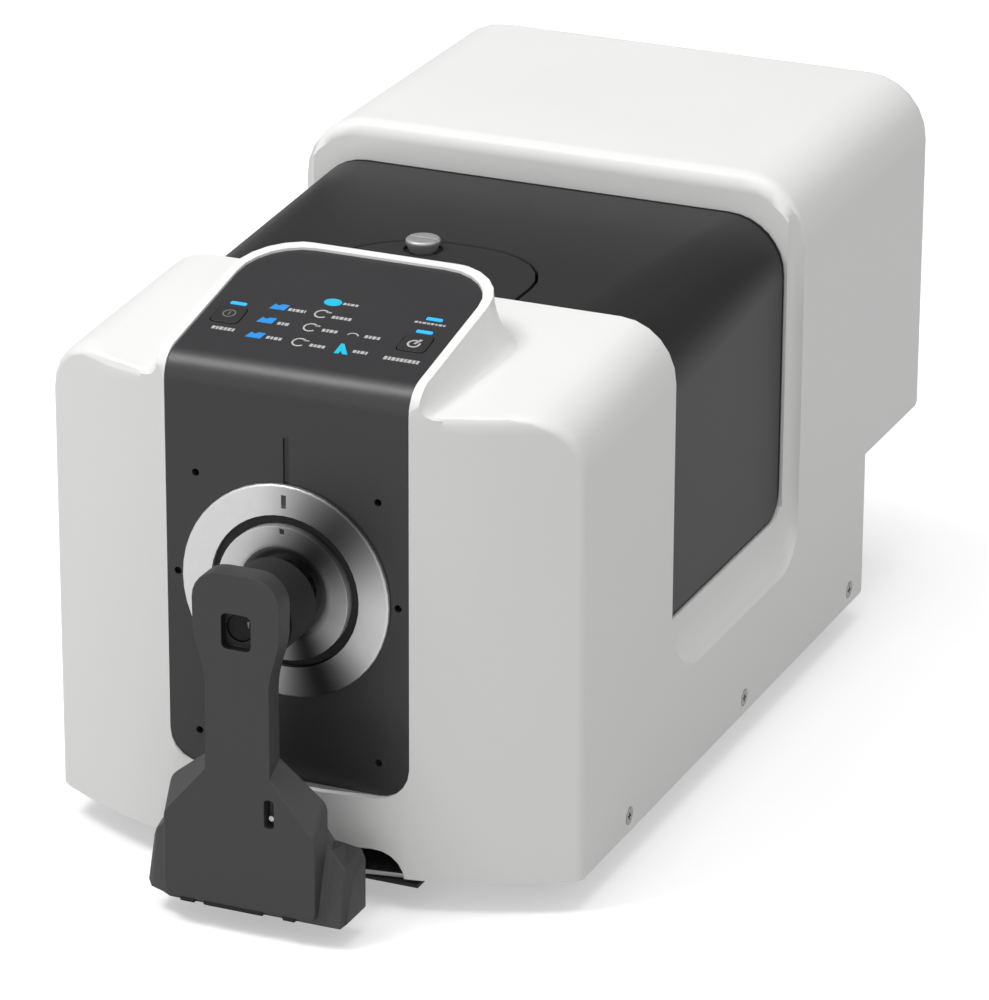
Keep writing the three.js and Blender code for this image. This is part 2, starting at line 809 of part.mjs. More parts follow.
let panel = panelVolume(0, 0, panelThickness);
panel = panel.subtract(port(portHoleRadius, -overrun, overrun * 2, 48));
accessoryHoles.forEach(([x, z]) => {
  panel = panel.subtract(rod('y', x, z, accessoryHoleRadius, -overrun, overrun, 12));
});
panel = panel.subtract(box(
  [-markWidth / 2, -overrun, markLow], [markWidth / 2, panelY + markDepth, markHigh]));
buttons.forEach(([, x]) => {
  const half = buttonSize / 2 + clearance;
  panel = panel.subtract(onControls(square(x, buttonAlong, half, buttonCorner, -overrun, overrun)));
});
lamps.forEach(([, x, y]) => {
  panel = panel.subtract(onControls(bar(x, y, clearance, -overrun, overrun)));
});
bosses.forEach(([x, y]) => {
  const boss = rod('z', x, y, bossRadius, -controlBoardDepth + clearance, -panelThickness / 2, 12);
  panel = panel.add(onControls(boss));
});
piece('front_panel', panel, darkPanel);

// Buttons, lamps and their board

buttons.forEach(([name, x]) => {
  const cap = square(0, 0, buttonSize / 2, buttonCorner, -panelThickness - clearance * 2, buttonProud);
  const flangeTop = -panelThickness - clearance;
  const flange = square(0, 0, buttonSize / 2 + buttonFlange, buttonCorner,
    flangeTop - buttonFlangeThickness, flangeTop);
  const stem = rod('z', 0, 0, buttonStemRadius, -controlBoardDepth + buttonTravel + clearance, flangeTop, 12);
  piece(name, joined(cap, flange, stem), black, controls).position.set(x, buttonAlong, 0);
});
lamps.forEach(([name, x, y]) => {
  piece(name, bar(0, 0, 0, -controlBoardDepth + clearance, 0), blue, controls).position.set(x, y, 0);
});
piece('control_board', box([-controlBoardHalfWidth, controlBoardNear, -controlBoardDepth - boardThickness],
  [controlBoardHalfWidth, controlBoardFar, -controlBoardDepth]), board, controls);

// Measuring port

// An index mark: a short groove towards the top of a ring
const portMark = (radius, length, front) => box(
  [-portMarkWidth / 2, front - overrun, portHeight + radius - length / 2],
  [portMarkWidth / 2, front + portMarkDepth, portHeight + radius + length / 2]);
const ring = turnedY(points(
  [ringBore, ringFront], [ringRadius - ringFlange / 4, ringFront], [ringRadius, ringFront + ringFlange / 4],
  [ringRadius, panelY - clearance], [portHoleRadius - clearance, panelY - clearance],
  [portHoleRadius - clearance, ringDepth], [ringBore, ringDepth]), 0, portHeight, 48);
piece('port_ring', ring.subtract(portMark(ringMarkRadius, ringMarkLength, ringFront)), silver);
const gasketOuter = ringBore - clearance;
const gasketInner = gasketOuter - gasketThickness;
piece('port_gasket', turnedY(points([gasketInner, gasketFront], [gasketOuter, gasketFront],
  [gasketOuter, ringDepth], [gasketInner, ringDepth]), 0, portHeight, 48), black);
const maskSeat = maskFront + maskDish;
const maskEdge = maskFront + maskCone;
const mask = turnedY(points([maskBore, maskSeat], [maskSeatRadius, maskSeat], [maskDishRadius, maskEdge],
  [maskRadius, maskFront], [maskRadius, maskBack], [maskBore, maskBack]), 0, portHeight, 48);
piece('target_mask', mask.subtract(portMark(maskMarkRadius, maskMarkLength,
  maskEdge - (maskCone * (maskMarkRadius - maskDishRadius)) / (maskRadius - maskDishRadius))), silver);

// Deck, thumb knob and lid over the chamber

const deckOutline = (grow, front) => roundedBox(-deckHalfWidth - grow, front, deckHalfWidth + grow,
  deckRear + grow, [0, 0, deckRadius + grow, deckRadius + grow], 6);
const lidFront = chamberFront + lidGap;
const lidRear = chamberRear - lidGap;
const liningTop = lidTop - chamberWall - clearance;
const frontWallRear = lidFront + chamberWall;
const floorTop = benchTop + clearance + floorThickness;
let deck = prism('z', deckOutline(0, lidFront), lidTop - chamberWall, lidTop);
deck = deck.add(prism(
  'z', deckOutline(0, frontWallRear + clearance), floorTop + clearance, lidTop - wall / 2));
deck = deck.subtract(prism('z', deckOutline(-chamberWall, frontWallRear - overrun), floorTop - overrun,
  lidTop - chamberWall));
deck = deck.subtract(port(opticBore + clearance, deckRear - overrun, deckRear + overrun));
deck = deck.subtract(rod('z', knobX, knobY, knobRecessRadius, lidTop - knobRecessDepth, height, 32));
deck = deck.subtract(rod('z', knobX, knobY, knobStemRadius + clearance, benchTop + overrun, height, 24));
piece('chamber_deck', deck, darkLid);

const knobBase = lidTop - knobRecessDepth + clearance;
const knobRim = knobBase + knobHeight;
const knob = turnedZ(points([0, knobRim], [knobRadius - knobSlotDepth, knobRim],
  [knobRadius, knobRim - knobSlotDepth], [knobRadius, knobRim - knobHeight / 3], [knobWaist, knobBase],
  [knobStemRadius, knobBase], [knobStemRadius, knobBase - knobStemLength],
  [0, knobBase - knobStemLength]), 0, 0);
const knobSlot = box([-knobRadius, -knobSlotWidth / 2, knobRim - knobSlotDepth],
  [knobRadius, knobSlotWidth / 2, knobRim + overrun]);
piece('cover_knob', knob.subtract(knobSlot), silver).position.set(knobX, knobY, 0);

const lidHalf = width / 2 - lidSetIn;
const lidBottom = lipHeight + lidLift;
function lidBlock(inset) {
  const low = inset > 0 ? lidBottom - overrun : lidBottom;
  const half = lidHalf - inset;
  const over = inset > 0 ? overrun : 0;
  const across = loft([[lidFront - over, lidFrontRadius - inset], [lidRear + over, lidRearRadius - inset]]
    .map(([y, radius]) => roundedBox(-half, low, half, lidTop - inset, [0, 0, radius, radius], 8)
      .map((p) => new THREE.Vector3(p.x, y, p.y))));
  if (inset > 0) return across;
  return across.intersect(prism('x', roundedBox(lidFront, lidBottom, lidRear, height,
    [lidFrontCorner, lidRearCorner, 0, 0]), -width, width));
}
const deckNotch = prism('z', deckOutline(deckGroove, lidFront - overrun), lidTop - overrun, height);
piece('chamber_cover', lidBlock(0).subtract(lidBlock(lidSkin)).subtract(deckNotch), darkLid);

// Optical bench and chamber lining

const panTop = panBottom + panThickness;
const legs = [-1, 1].flatMap((side) => benchLegYs.map((y) => rod(
  'z', side * benchLegX, y, benchLegRadius, panTop + clearance, benchTop - benchThickness / 2, 12)));
const bench = box([-benchHalfWidth, benchFront, benchTop - benchThickness],
  [benchHalfWidth, benchRear, benchTop]);
piece('optical_bench', joined(bench, ...legs), steel);

const liningHalf = lidHalf - lidSkin - chamberWallSetIn;
piece('chamber_floor', box([-benchHalfWidth, lidFront, benchTop + clearance],
  [benchHalfWidth, lidRear, floorTop]), black);
const lining = (from, lidRadius) => {
  const radius = lidRadius - lidSkin - chamberWallSetIn;
  const outline = roundedBox(-liningHalf, floorTop + clearance, liningHalf, liningTop,
    [chamberWallFoot, chamberWallFoot, radius, radius], 5);
  return prism('y', outline, from, from + chamberWall);
};
const frontBore = port(opticBore, lidFront - overrun, frontWallRear + overrun);
piece('chamber_front_wall', lining(lidFront, lidFrontRadius).subtract(frontBore), black);
const rearWallFront = lidRear - chamberWall;
const glassBack = rearWallFront + glassSeat;
piece('chamber_rear_wall', lining(rearWallFront, lidRearRadius)
  .subtract(port(opticBore, rearWallFront - overrun, lidRear + overrun))
  .subtract(port(glassRadius + clearance, glassBack - overrun, glassBack)), black);
const glassFront = glassBack - clearance - glassThickness;
piece('chamber_window', port(glassRadius, glassFront, glassFront + glassThickness), glass);
piece('port_window', port(opticBore, deckRear - glassThickness, deckRear), glass);

// Shutter behind the sphere's rear port

const shutterRear = shutterY + shutterMotorLength;
const shaftFront = shutterY - shutterShaftLength;
const shutterMount = box([shutterX - shutterMotorRadius, shutterY, floorTop + clearance],
  [shutterX + shutterMotorRadius, shutterRear, portHeight - shutterMotorRadius / 2]);
const shutterRod = (radius, from, to, steps) => rod('y', shutterX, portHeight, radius, from, to, steps);
piece('shutter_motor', joined(shutterRod(shutterMotorRadius, shutterY, shutterRear, 20),
  shutterRod(shutterShaftRadius, shaftFront, shutterY + overrun, 16), shutterMount), steel);
const hubRear = shutterY - clearance;
const bladeFront = hubRear - shutterBladeThickness - shutterBladeThickness;
const blade = joined(
  rod('y', 0, portHeight, shutterBladeRadius, bladeFront, bladeFront + shutterBladeThickness),
  box([0, bladeFront, portHeight - shutterHubRadius],
    [shutterX, bladeFront + shutterBladeThickness, portHeight + shutterHubRadius]),
  shutterRod(shutterHubRadius, bladeFront, hubRear, 20));
const hubBore = shutterRod(shutterShaftRadius + clearance, bladeFront - overrun, hubRear + overrun, 16);
piece('shutter_plate', blade.subtract(hubBore), black);

// Integrating sphere and lamp

// Half of the sphere: a hollow hemisphere with a port and a flange, side -1 at the front and 1 at the rear
function sphereHalf(side, portRadius, neckEnd) {
  const inner = sphereRadius - sphereWall;
  const start = Math.asin(portRadius / inner);
  const startOut = Math.asin(portRadius / sphereRadius);
  const steps = 5;
  const shell = (radius, from) => Array.from({ length: steps }, (_, i) => {
    const turn = from + ((quarter - from) * i) / steps;
    return new THREE.Vector2(radius * Math.sin(turn), side * radius * Math.cos(turn));
  });
  const half = clearance / 2;
  const profile = [
    ...shell(inner, start),
    new THREE.Vector2(inner, side * half),
    new THREE.Vector2(sphereFlangeRadius, side * half),
    new THREE.Vector2(sphereFlangeRadius, side * (half + sphereFlangeThickness)),
    new THREE.Vector2(sphereRadius, side * (half + sphereFlangeThickness)),
    ...shell(sphereRadius, startOut).reverse(),
  ].map((p) => new THREE.Vector2(p.x, p.y + sphereY));
  const body = turnedY(profile, 0, portHeight, sphereSides);
  const neckStart = sphereY + side * (inner - sphereWall);
  const neckSpan = [neckStart, neckEnd].sort((a, b) => a - b);
  const neck = port(sphereNeckRadius, ...neckSpan);
  const hollow = turnedY([...shell(inner, 0), new THREE.Vector2(inner, 0), new THREE.Vector2(0, 0)]
    .map((p) => new THREE.Vector2(p.x, p.y + sphereY)), 0, portHeight, sphereSides);
  return body.add(neck.subtract(hollow).subtract(port(portRadius, -overrun, sphereY * 2 + overrun)));
}
piece('sphere_front', sphereHalf(-1, sphereFrontPort, maskBack + clearance), sphereWhite);
piece('sphere_rear', sphereHalf(1, sphereRearPort, lidFront - clearance), sphereWhite);

const standFront = sphereY + sphereFlangeThickness + clearance * 2;
const standFloor = box([-standHalfWidth, standFront - standFoot, panTop + clearance],
  [standHalfWidth, standFront + standThickness, panTop + clearance + standThickness]);
const standPlate = box([-standHalfWidth, standFront, panTop + clearance],
  [standHalfWidth, standFront + standThickness, standTop]);
piece('sphere_stand', standPlate.add(standFloor).subtract(
  port(sphereRadius + clearance * 2, standFront - overrun, standFront + overrun, 32)), steel);

const lampBase = portHeight + sphereFlangeRadius + clearance;
const lampTop = lampBase + lampHousingHeight;
const lampHousing = box([-lampHousingHalfWidth, lampHousingFront, lampBase - lampHousingSkirt],
  [lampHousingHalfWidth, lampHousingRear, lampTop]);
const lampRoom = box([wall - lampHousingHalfWidth, lampHousingFront + wall, lampBase - overrun],
  [lampHousingHalfWidth - wall, lampHousingRear - wall, lampTop - wall]);
const flangeSeat = port(sphereFlangeRadius + clearance, lampHousingFront - overrun, lampHousingRear + overrun,
  sphereSides);
piece('lamp_housing', lampHousing.subtract(lampRoom).subtract(flangeSeat), steel);
piece('flash_lamp', rod('x', sphereY, lampBase + lampHousingHeight / 2, flashRadius,
  wall + clearance - lampHousingHalfWidth, lampHousingHalfWidth - wall - clearance, 16), glass);
piece('flash_capacitor', rod('z', 0, 0, capacitorRadius, panTop + clearance,
  panTop + clearance + capacitorHeight), black).position.set(capacitorX, capacitorY, 0);

// Spectrometer

const deskTop = benchTop + clearance;
const spectrometer = box([-spectrometerHalfWidth, spectrometerFront, deskTop],
  [spectrometerHalfWidth, spectrometerRear, spectrometerTop]);
const spectrometerRoom = box([wall - spectrometerHalfWidth, spectrometerFront + wall, deskTop - overrun],
  [spectrometerHalfWidth - wall, spectrometerRear - wall, spectrometerTop - wall]);
piece('spectrometer_housing', spectrometer.subtract(spectrometerRoom)
  .subtract(port(slitRadius, spectrometerFront - overrun, spectrometerFront + overrun, 20)), black);
const gratingRear = spectrometerRear - wall - clearance;
piece('grating', box([-gratingWidth / 2, gratingRear - gratingThickness, deskTop],
  [gratingWidth / 2, gratingRear, deskTop + gratingStand]), glass);
const detectorFront = spectrometerFront + wall + clearance;
piece('detector_board', box([detectorX - detectorWidth / 2, detectorFront, deskTop],
  [detectorX + detectorWidth / 2, detectorFront + boardThickness, deskTop + detectorHeight]), board);

// Floor pan, feet and cover screws

const panInset = wall + panGap;
const panRear = lowerRearY - panInset - panRearGap;
const boards = [
  ['main_board', mainBoardHalfWidth, mainBoardFront, mainBoardRear],
  ['power_board', powerBoardHalfWidth, powerBoardFront, powerBoardRear],
];
const flangeOuter = width / 2 - panInset;
let pan = prism('z', planOutline(0, 0, faceCornerRadius, panRear, panInset), panBottom, panTop);
[-1, 1].forEach((side) => {
  const [left, right] = [flangeOuter - panThickness, flangeOuter].map((x) => side * x).sort((a, b) => a - b);
  pan = pan.add(box([left, panFlangeFront, panBottom], [right, panFlangeRear, panTop + panFlangeHeight]));
});
boards.forEach(([, half, front, rear]) => {
  [-1, 1].forEach((side) => [front + boardPostInset, rear - boardPostInset].forEach((y) => {
    pan = pan.add(rod('z', side * (half - boardPostInset), y, boardPostRadius, panBottom + panThickness / 2,
      boardHeight, 6));
  }));
});
const footPlaces = [-footX, footX].flatMap((x) => [footFrontY, footRearY].map((y) => [x, y]));
footPlaces.forEach(([x, y]) => {
  pan = pan.subtract(rod('z', x, y, footPlugRadius + clearance, 0, height, 16));
});
screwYs.forEach((y) => {
  pan = pan.subtract(rod('x', y, screwHeight, screwRadius + clearance, -width, width, 14));
});
const lugX = (lugInner + lugOuter) / 2;
const lugHalf = (lugOuter - lugInner) / 2;
const bracketTop = panBottom - clearance;
[-lugX, lugX].forEach((x) => {
  const half = lugHalf + clearance;
  pan = pan.subtract(box([x - half, frontY - overrun, bracketTop],
    [x + half, bracketFront + lugRadius + clearance, panTop + overrun]));
});
piece('base_plate', pan, steel);

const footTop = panBottom - clearance;
const plugTop = footTop + footPlugLength;
footPlaces.forEach(([x, y], i) => {
  const foot = turnedZ(points([0, 0], [footRadius - footTaper, 0], [footRadius, footTaper],
    [footRadius, footTop], [footPlugRadius, footTop], [footPlugRadius, plugTop], [0, plugTop]), 0, 0, 16);
  piece(`foot_${i + 1}`, foot, rubber).position.set(x, y, 0);
});

const screwBody = turnedX([[0, 0], [screwHeadRadius, 0], [screwRadius, screwHeadDepth],
  [screwRadius, screwLength], [0, screwLength]]);
const drive = (a, b) => box([-screwDriveDepth, -a / 2, -b / 2], [overrun, a / 2, b / 2]);
const driveLength = screwHeadRadius;
const screw = screwBody.subtract(drive(screwDriveWidth, driveLength))
  .subtract(drive(driveLength, screwDriveWidth));
[1, -1].forEach((side, row) => screwYs.forEach((y, i) => {
  const mesh = piece(`cover_screw_${row * screwYs.length + i + 1}`, screw, steel);
  mesh.position.set(side * (width / 2 - clearance), y, screwHeight);
  mesh.rotation.z = side > 0 ? 0 : Math.PI;
}));

// Electronics and rear connectors

boards.forEach(([name, half, front, rear]) => {
  const low = boardHeight + clearance;
  const top = low + boardThickness;
  const middle = (front + rear) / 2;
  const chips = [-1, 0, 1].map((place) => box(
    [place * chipSize * 2 - chipSize / 2, middle - chipSize / 2, low + boardThickness / 2],
    [place * chipSize * 2 + chipSize / 2, middle + chipSize / 2, top + chipHeight]));
  piece(name, joined(box([-half, front, low], [half, rear, top]), ...chips), board);
});

const plateRear = lowerRearY - wall - clearance;
const plateFront = plateRear - rearPanelThickness;
const around = (x, across, high, radius) => (grow) => roundedBox(
  x - across / 2 - grow, socketHeight - high / 2 - grow,
  x + across / 2 + grow, socketHeight + high / 2 + grow, radius, 2);
const sockets = [
  {
    name: 'power_socket',
    outline: (grow) => circle(powerSocketX, socketHeight, powerSocketRadius + grow, 24),
    wallThickness: powerSocketRadius - powerSocketBore,
    core: rod('y', powerSocketX, socketHeight, powerPinRadius, lowerRearY - socketDepth + wall / 2,
      lowerRearY - powerPinStart, 12),
  },
  {
    name: 'usb_b_socket',
    outline: around(usbBX, usbBWidth, usbBHeight, usbBWall / 2),
    wallThickness: usbBWall,
    core: box([usbBX - usbBTongue / 2, lowerRearY - socketDepth + wall / 2, socketHeight - usbBTongue / 2],
      [usbBX + usbBTongue / 2, lowerRearY - tongueStart, socketHeight + usbBTongue / 2]),
  },
  {
    name: 'usb_a_socket',
    outline: around(usbAX, usbAWidth, usbAHeight, usbAWall / 2),
    wallThickness: usbAWall,
    core: box([usbAX - usbATongue / 2, lowerRearY - socketDepth + wall / 2, socketHeight],
      [usbAX + usbATongue / 2, lowerRearY - tongueStart, socketHeight + usbATongueThickness]),
  },
];
let plate = box([-rearPanelHalfWidth, plateFront, panTop + clearance],
  [rearPanelHalfWidth, plateRear, rearPanelTop]);
sockets.forEach(({ outline }) => {
  plate = plate.subtract(prism('y', outline(clearance), plateFront - overrun, plateRear + overrun));
});
piece('rear_panel', plate, black);
sockets.forEach(({ name, outline, wallThickness, core }) => {
  const body = prism('y', outline(0), lowerRearY - socketDepth, lowerRearY);
  const room = prism('y', outline(-wallThickness), lowerRearY - socketDepth + wall, lowerRearY + overrun);
  piece(name, body.subtract(room).add(core), steel);
});

// Sample holder: bracket, shaft and arm

const lugBarTop = pivotHeight - shaftRadius / 2;
const lugs = [-lugX, lugX].map((x) => joined(
  rod('x', pivotY, pivotHeight, lugRadius, x - lugHalf, x + lugHalf),
  box([x - lugHalf, pivotY, pivotHeight - lugRadius], [x + lugHalf, bracketFront + lugRadius, lugBarTop]),
  box([x - lugHalf, bracketFront, bracketTop - bracketThickness / 2],
    [x + lugHalf, bracketFront + lugRadius, lugBarTop])));
const bracket = box([-bracketHalfWidth, bracketFront, bracketTop - bracketThickness],
  [bracketHalfWidth, bracketRear, bracketTop]);
piece('holder_bracket', joined(bracket, ...lugs).subtract(
  rod('x', pivotY, pivotHeight, shaftRadius + clearance, -width, width)), black);
piece('holder_shaft', rod('x', pivotY, pivotHeight, shaftRadius, -shaftHalfLength, shaftHalfLength), steel);

// The arm's outline at its front or rear face: half of it, from the foot up to the head, and its mirror image
function armOutline(half, shoulder, stemFoot) {
  const lean = Math.atan2(half - waistHalfWidth, stemFoot - shoulder);
  const cornerX = half - shoulderCorner;
  const cornerZ = shoulder - shoulderCorner * Math.tan(lean / 2);
  const side = [
    ...arc(half - armFootRadius, armBottom + armFootRadius, armFootRadius, -quarter, 0, 3),
    ...arc(cornerX, cornerZ, shoulderCorner, 0, lean, 4),
    new THREE.Vector2(waistHalfWidth, stemFoot),
    ...Array.from({ length: 7 }, (_, i) => new THREE.Vector2(
      waistHalfWidth + ((headHalfWidth - waistHalfWidth) * (1 - Math.cos((Math.PI * i) / 7))) / 2,
      waistTop + ((headShoulder - waistTop) * i) / 7)),
    ...arc(headHalfWidth - headRadius, headTop - headRadius, headRadius, 0, quarter, 6),
  ];
  return [...side, ...side.map((p) => new THREE.Vector2(-p.x, p.y)).reverse()];
}
const armRear = armFront + armThickness;
const armFaces = [
  armOutline(armLowHalfWidth, shoulderFront, stemFootFront),
  armOutline(armLowHalfBack, shoulderBack, stemFootBack),
];
const armPlate = loft([armFront, armRear].map((y, i) => armFaces[i].map((p) => new THREE.Vector3(p.x, y, p.y))),
  armFaces);
const hubSection = (x, front, low, back, highBack, high, slant) => [
  [front, low], [back, low], [back, highBack], [front + slant, high]].map(([y, z]) => new THREE.Vector3(x, y, z));
const hubSide = (side) => {
  const rounding = side < 0 ? leftEarRounding : 0;
  return [
    hubSection(side * hubHalfWidth, hubFront, hubBottom, hubBack, hubTopBack, hubTop, hubSlant),
    hubSection(side * earShoulder, hubFront + rounding / 2, hubBottom, hubBack, earShoulderBack, earShoulderTop,
      earShoulderSlant),
    hubSection(side * earEdge, hubFront + rounding, hubBottom, hubBack, earEdgeBack, earEdgeTop, earEdgeSlant),
    hubSection(side * earHalfWidth, earFront + rounding, earBottom, earBack, earTopBack, earTop, earEdgeSlant),
  ];
};
const hub = loft([...hubSide(-1).reverse(), ...hubSide(1)]);
let arm = joined(armPlate, hub);
[-lugX, lugX].forEach((x) => {
  const half = lugHalf + lugPlay;
  arm = arm.subtract(box([x - half, pivotY - lugRadius - lugSwing, armBottom - overrun],
    [x + half, frontY, pivotHeight + lugRadius + lugSwing]));
});
const shaftEnd = shaftHalfLength + clearance;
const springEnd = springHalfLength + clearance;
const padFront = maskFront - padGap;
const padNoseEnd = padFront - padNose;
const padBack = armRear + padStandOff;
const padRecess = armRear - padPocketDepth;
const cuts = [
  rod('x', pivotY, pivotHeight, shaftRadius + shaftPlay, -shaftEnd, shaftEnd),
  rod('x', pivotY, pivotHeight, springCavityRadius, -springEnd, springEnd),
  box([-springEnd, pivotY, pivotHeight - springCavityRadius],
    [springEnd, frontY, pivotHeight + springCavityRadius]),
  prism('y', roundedBox(slotX - slotWidth / 2, slotLow, slotX + slotWidth / 2, slotHigh, slotWidth / 3, 2),
    armFront - overrun, armFront + slotDepth),
  prism('y', roundedBox(-windowWidth / 2, windowCentre - windowHeight / 2, windowWidth / 2,
    windowCentre + windowHeight / 2, windowRadius, 3), armFront - overrun, armFront + windowDepth),
  port(padStemRadius + clearance, armFront + windowDepth / 2, armRear + overrun),
  port(padPocketRadius, padRecess, armRear + overrun),
];
piece('holder_arm', cuts.reduce((left, cut) => left.subtract(cut), arm), darkArm);
const armScrewEnd = armFront + slotDepth - clearance;
piece('arm_screw', rod('y', slotX, armScrewHeight, armScrewRadius, armScrewEnd - armScrewLength,
  armScrewEnd, 12), silver);
const spring = (name, ...sizes) => piece(name, coil(name, ...sizes), steel);
spring('arm_spring', springCoilRadius, springWireRadius, springHalfLength * 2, springCoils)
  .position.set(-springHalfLength, pivotY, pivotHeight);

// Sample pad and its spring

piece('sample_pad', joined(
  turnedY(points([0, padFront], [padNoseRadius, padFront], [padNoseRadius, padNoseEnd],
    [padRadius - padEdge, padNoseEnd], [padRadius, padNoseEnd - padEdge], [padRadius, padBack],
    [0, padBack]), 0, portHeight, 36),
  rod('y', 0, portHeight, padStemRadius, armFront + padStemSetBack, padBack + overrun)), black);
const padSpring = spring('pad_spring', padSpringRadius, padSpringWireRadius, padSpringLength, padSpringCoils);
padSpring.position.set(0, padRecess + clearance, portHeight);
padSpring.rotation.z = quarter;

instrument.position.y = -(armFront + rearY) / 2;

export default instrument;
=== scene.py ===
"""Looks of a benchtop spectrophotometer: finishes, softened edges, printing and small fittings."""

import json
import math

import bmesh
import bpy
from mathutils import Matrix, Vector


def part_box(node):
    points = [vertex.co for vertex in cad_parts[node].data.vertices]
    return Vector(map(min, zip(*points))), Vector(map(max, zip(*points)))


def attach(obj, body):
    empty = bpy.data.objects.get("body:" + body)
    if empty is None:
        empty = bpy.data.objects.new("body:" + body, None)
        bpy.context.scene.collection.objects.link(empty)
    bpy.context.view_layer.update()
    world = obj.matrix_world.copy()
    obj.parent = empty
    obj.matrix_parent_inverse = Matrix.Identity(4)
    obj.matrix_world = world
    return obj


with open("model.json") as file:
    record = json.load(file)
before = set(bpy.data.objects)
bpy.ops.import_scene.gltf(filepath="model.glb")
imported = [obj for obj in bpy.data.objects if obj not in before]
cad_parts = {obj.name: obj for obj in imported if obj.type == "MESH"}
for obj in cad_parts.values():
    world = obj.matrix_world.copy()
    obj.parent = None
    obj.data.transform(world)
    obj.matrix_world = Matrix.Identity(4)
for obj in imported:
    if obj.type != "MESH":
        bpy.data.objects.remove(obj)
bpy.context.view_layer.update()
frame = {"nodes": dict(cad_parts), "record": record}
nodes = frame["nodes"]
MM = 0.001


# Camera, at the photograph's viewing angle

CAMERA_AZIMUTH = math.radians(23.614)
CAMERA_ELEVATION = math.radians(21.54)
CAMERA_ROLL = math.radians(0.165)
CAMERA_TARGET = Vector((0, -0.0039, 0.126))
CAMERA_DISTANCE = 2.531407
SENSOR = 36
LENS = 201.473
SHIFT = (0.01824, -0.03982)
CLIP_END = 50


def camera_axes():
    """Right, up and back of the camera, from its angles."""
    flat = math.cos(CAMERA_ELEVATION)
    back = Vector((math.sin(CAMERA_AZIMUTH) * flat, -math.cos(CAMERA_AZIMUTH) * flat,
                   math.sin(CAMERA_ELEVATION)))
    right = Vector((math.cos(CAMERA_AZIMUTH), math.sin(CAMERA_AZIMUTH), 0))
    up = back.cross(right)
    turn = Matrix.Rotation(CAMERA_ROLL, 3, back)
    return turn @ right, turn @ up, back


def add_camera():
    lens = bpy.data.cameras.new("camera")
    lens.lens = LENS
    lens.sensor_width = SENSOR
    lens.shift_x, lens.shift_y = SHIFT
    lens.clip_end = CLIP_END
    camera = bpy.data.objects.new("camera", lens)
    bpy.context.scene.collection.objects.link(camera)
    right, up, back = camera_axes()
    turn = Matrix((right, up, back)).transposed().to_4x4()
    camera.matrix_world = Matrix.Translation(CAMERA_TARGET + back * CAMERA_DISTANCE) @ turn
    bpy.context.scene.camera = camera


# Nodes and shader maths

def feed(tree, socket, value):
    """Links a node's output to a socket, or else sets the socket's own value."""
    source = value.socket if isinstance(value, Value) else value
    if isinstance(source, bpy.types.NodeSocket):
        tree.links.new(source, socket)
    else:
        socket.default_value = source


def add_node(tree, kind, settings=None, inputs=()):
    """Adds a node: its settings first, then the values or links of its sockets, in order or by name."""
    node = tree.nodes.new(kind)
    for name, setting in (settings or {}).items():
        setattr(node, name, setting)
    named = inputs if isinstance(inputs, dict) else dict(enumerate(inputs))
    for name, value in named.items():
        feed(tree, node.inputs[name], value)
    return node


class Value:
    """One output of a shader node; sums and comparisons of it add Math nodes."""

    def __init__(self, finish, socket):
        self.finish = finish
        self.socket = socket

    def __add__(self, other):
        return self.finish.math("ADD", self, other)

    __radd__ = __add__

    def __sub__(self, other):
        return self.finish.math("SUBTRACT", self, other)

    def __rsub__(self, other):
        return self.finish.math("SUBTRACT", other, self)

    def __mul__(self, other):
        return self.finish.math("MULTIPLY", self, other)

    __rmul__ = __mul__

    def __truediv__(self, other):
        return self.finish.math("DIVIDE", self, other)

    def __rtruediv__(self, other):
        return self.finish.math("DIVIDE", other, self)

    def __gt__(self, other):
        return self.finish.math("GREATER_THAN", self, other)

    def __lt__(self, other):
        return self.finish.math("LESS_THAN", self, other)

    def __abs__(self):
        return self.finish.math("ABSOLUTE", self)

    def limited(self):
        return self.finish.node("ShaderNodeClamp", {}, [self])


class Finish:
    """A material: its nodes are added here, and its shader's sockets take plain numbers or Values."""

    def __init__(self, name):
        self.material = bpy.data.materials.new(name)
        self.material.use_nodes = True
        self.tree = self.material.node_tree
        self.shader = self.tree.nodes["Principled BSDF"]
        self.place = self.node("ShaderNodeTexCoord", out="Object")
        self.tone = None

    def node(self, kind, settings=None, inputs=(), out=0):
        return Value(self, add_node(self.tree, kind, settings, inputs).outputs[out])

    def math(self, operation, *values):
        return self.node("ShaderNodeMath", {"operation": operation}, values)

    def set(self, **values):
        """Sets sockets of the shader; a name's underscores stand for its spaces."""
        for name, value in values.items():
            feed(self.tree, self.shader.inputs[name.replace("_", " ")], value)

    def axes(self):
        """Across, along and up in the object's frame, in metres."""
        split = add_node(self.tree, "ShaderNodeSeparateXYZ", {}, [self.place])
        return [Value(self, output) for output in split.outputs]

    def noise(self, scale, detail=2.0, roughness=0.5, stretch=None):
        place = self.place
        if stretch:
            place = self.node("ShaderNodeVectorMath", {"operation": "MULTIPLY"}, [place, stretch])
        return self.node("ShaderNodeTexNoise", {"noise_dimensions": "3D"},
                         {"Vector": place, "Scale": scale, "Detail": detail, "Roughness": roughness},
                         out="Fac")

    def mix(self, share, first, second):
        return self.node("ShaderNodeMix", {"data_type": "RGBA"}, {0: share, 6: first, 7: second}, out=2)

    def bump(self, height, depth, strength=1.0):
        self.set(Normal=self.node("ShaderNodeBump", {},
                                  {"Strength": strength, "Distance": depth, "Height": height}))


def linear(tone):
    """A display tone from 0 to 255 as a linear value."""
    share = tone / 255
    return share / 12.92 if share <= 0.04045 else ((share + 0.055) / 1.055) ** 2.4


def colour(red, green=None, blue=None):
    """A display colour, or a grey where only one tone is given, as a linear colour."""
    tones = (red, red, red) if green is None else (red, green, blue)
    return (*(linear(tone) for tone in tones), 1)


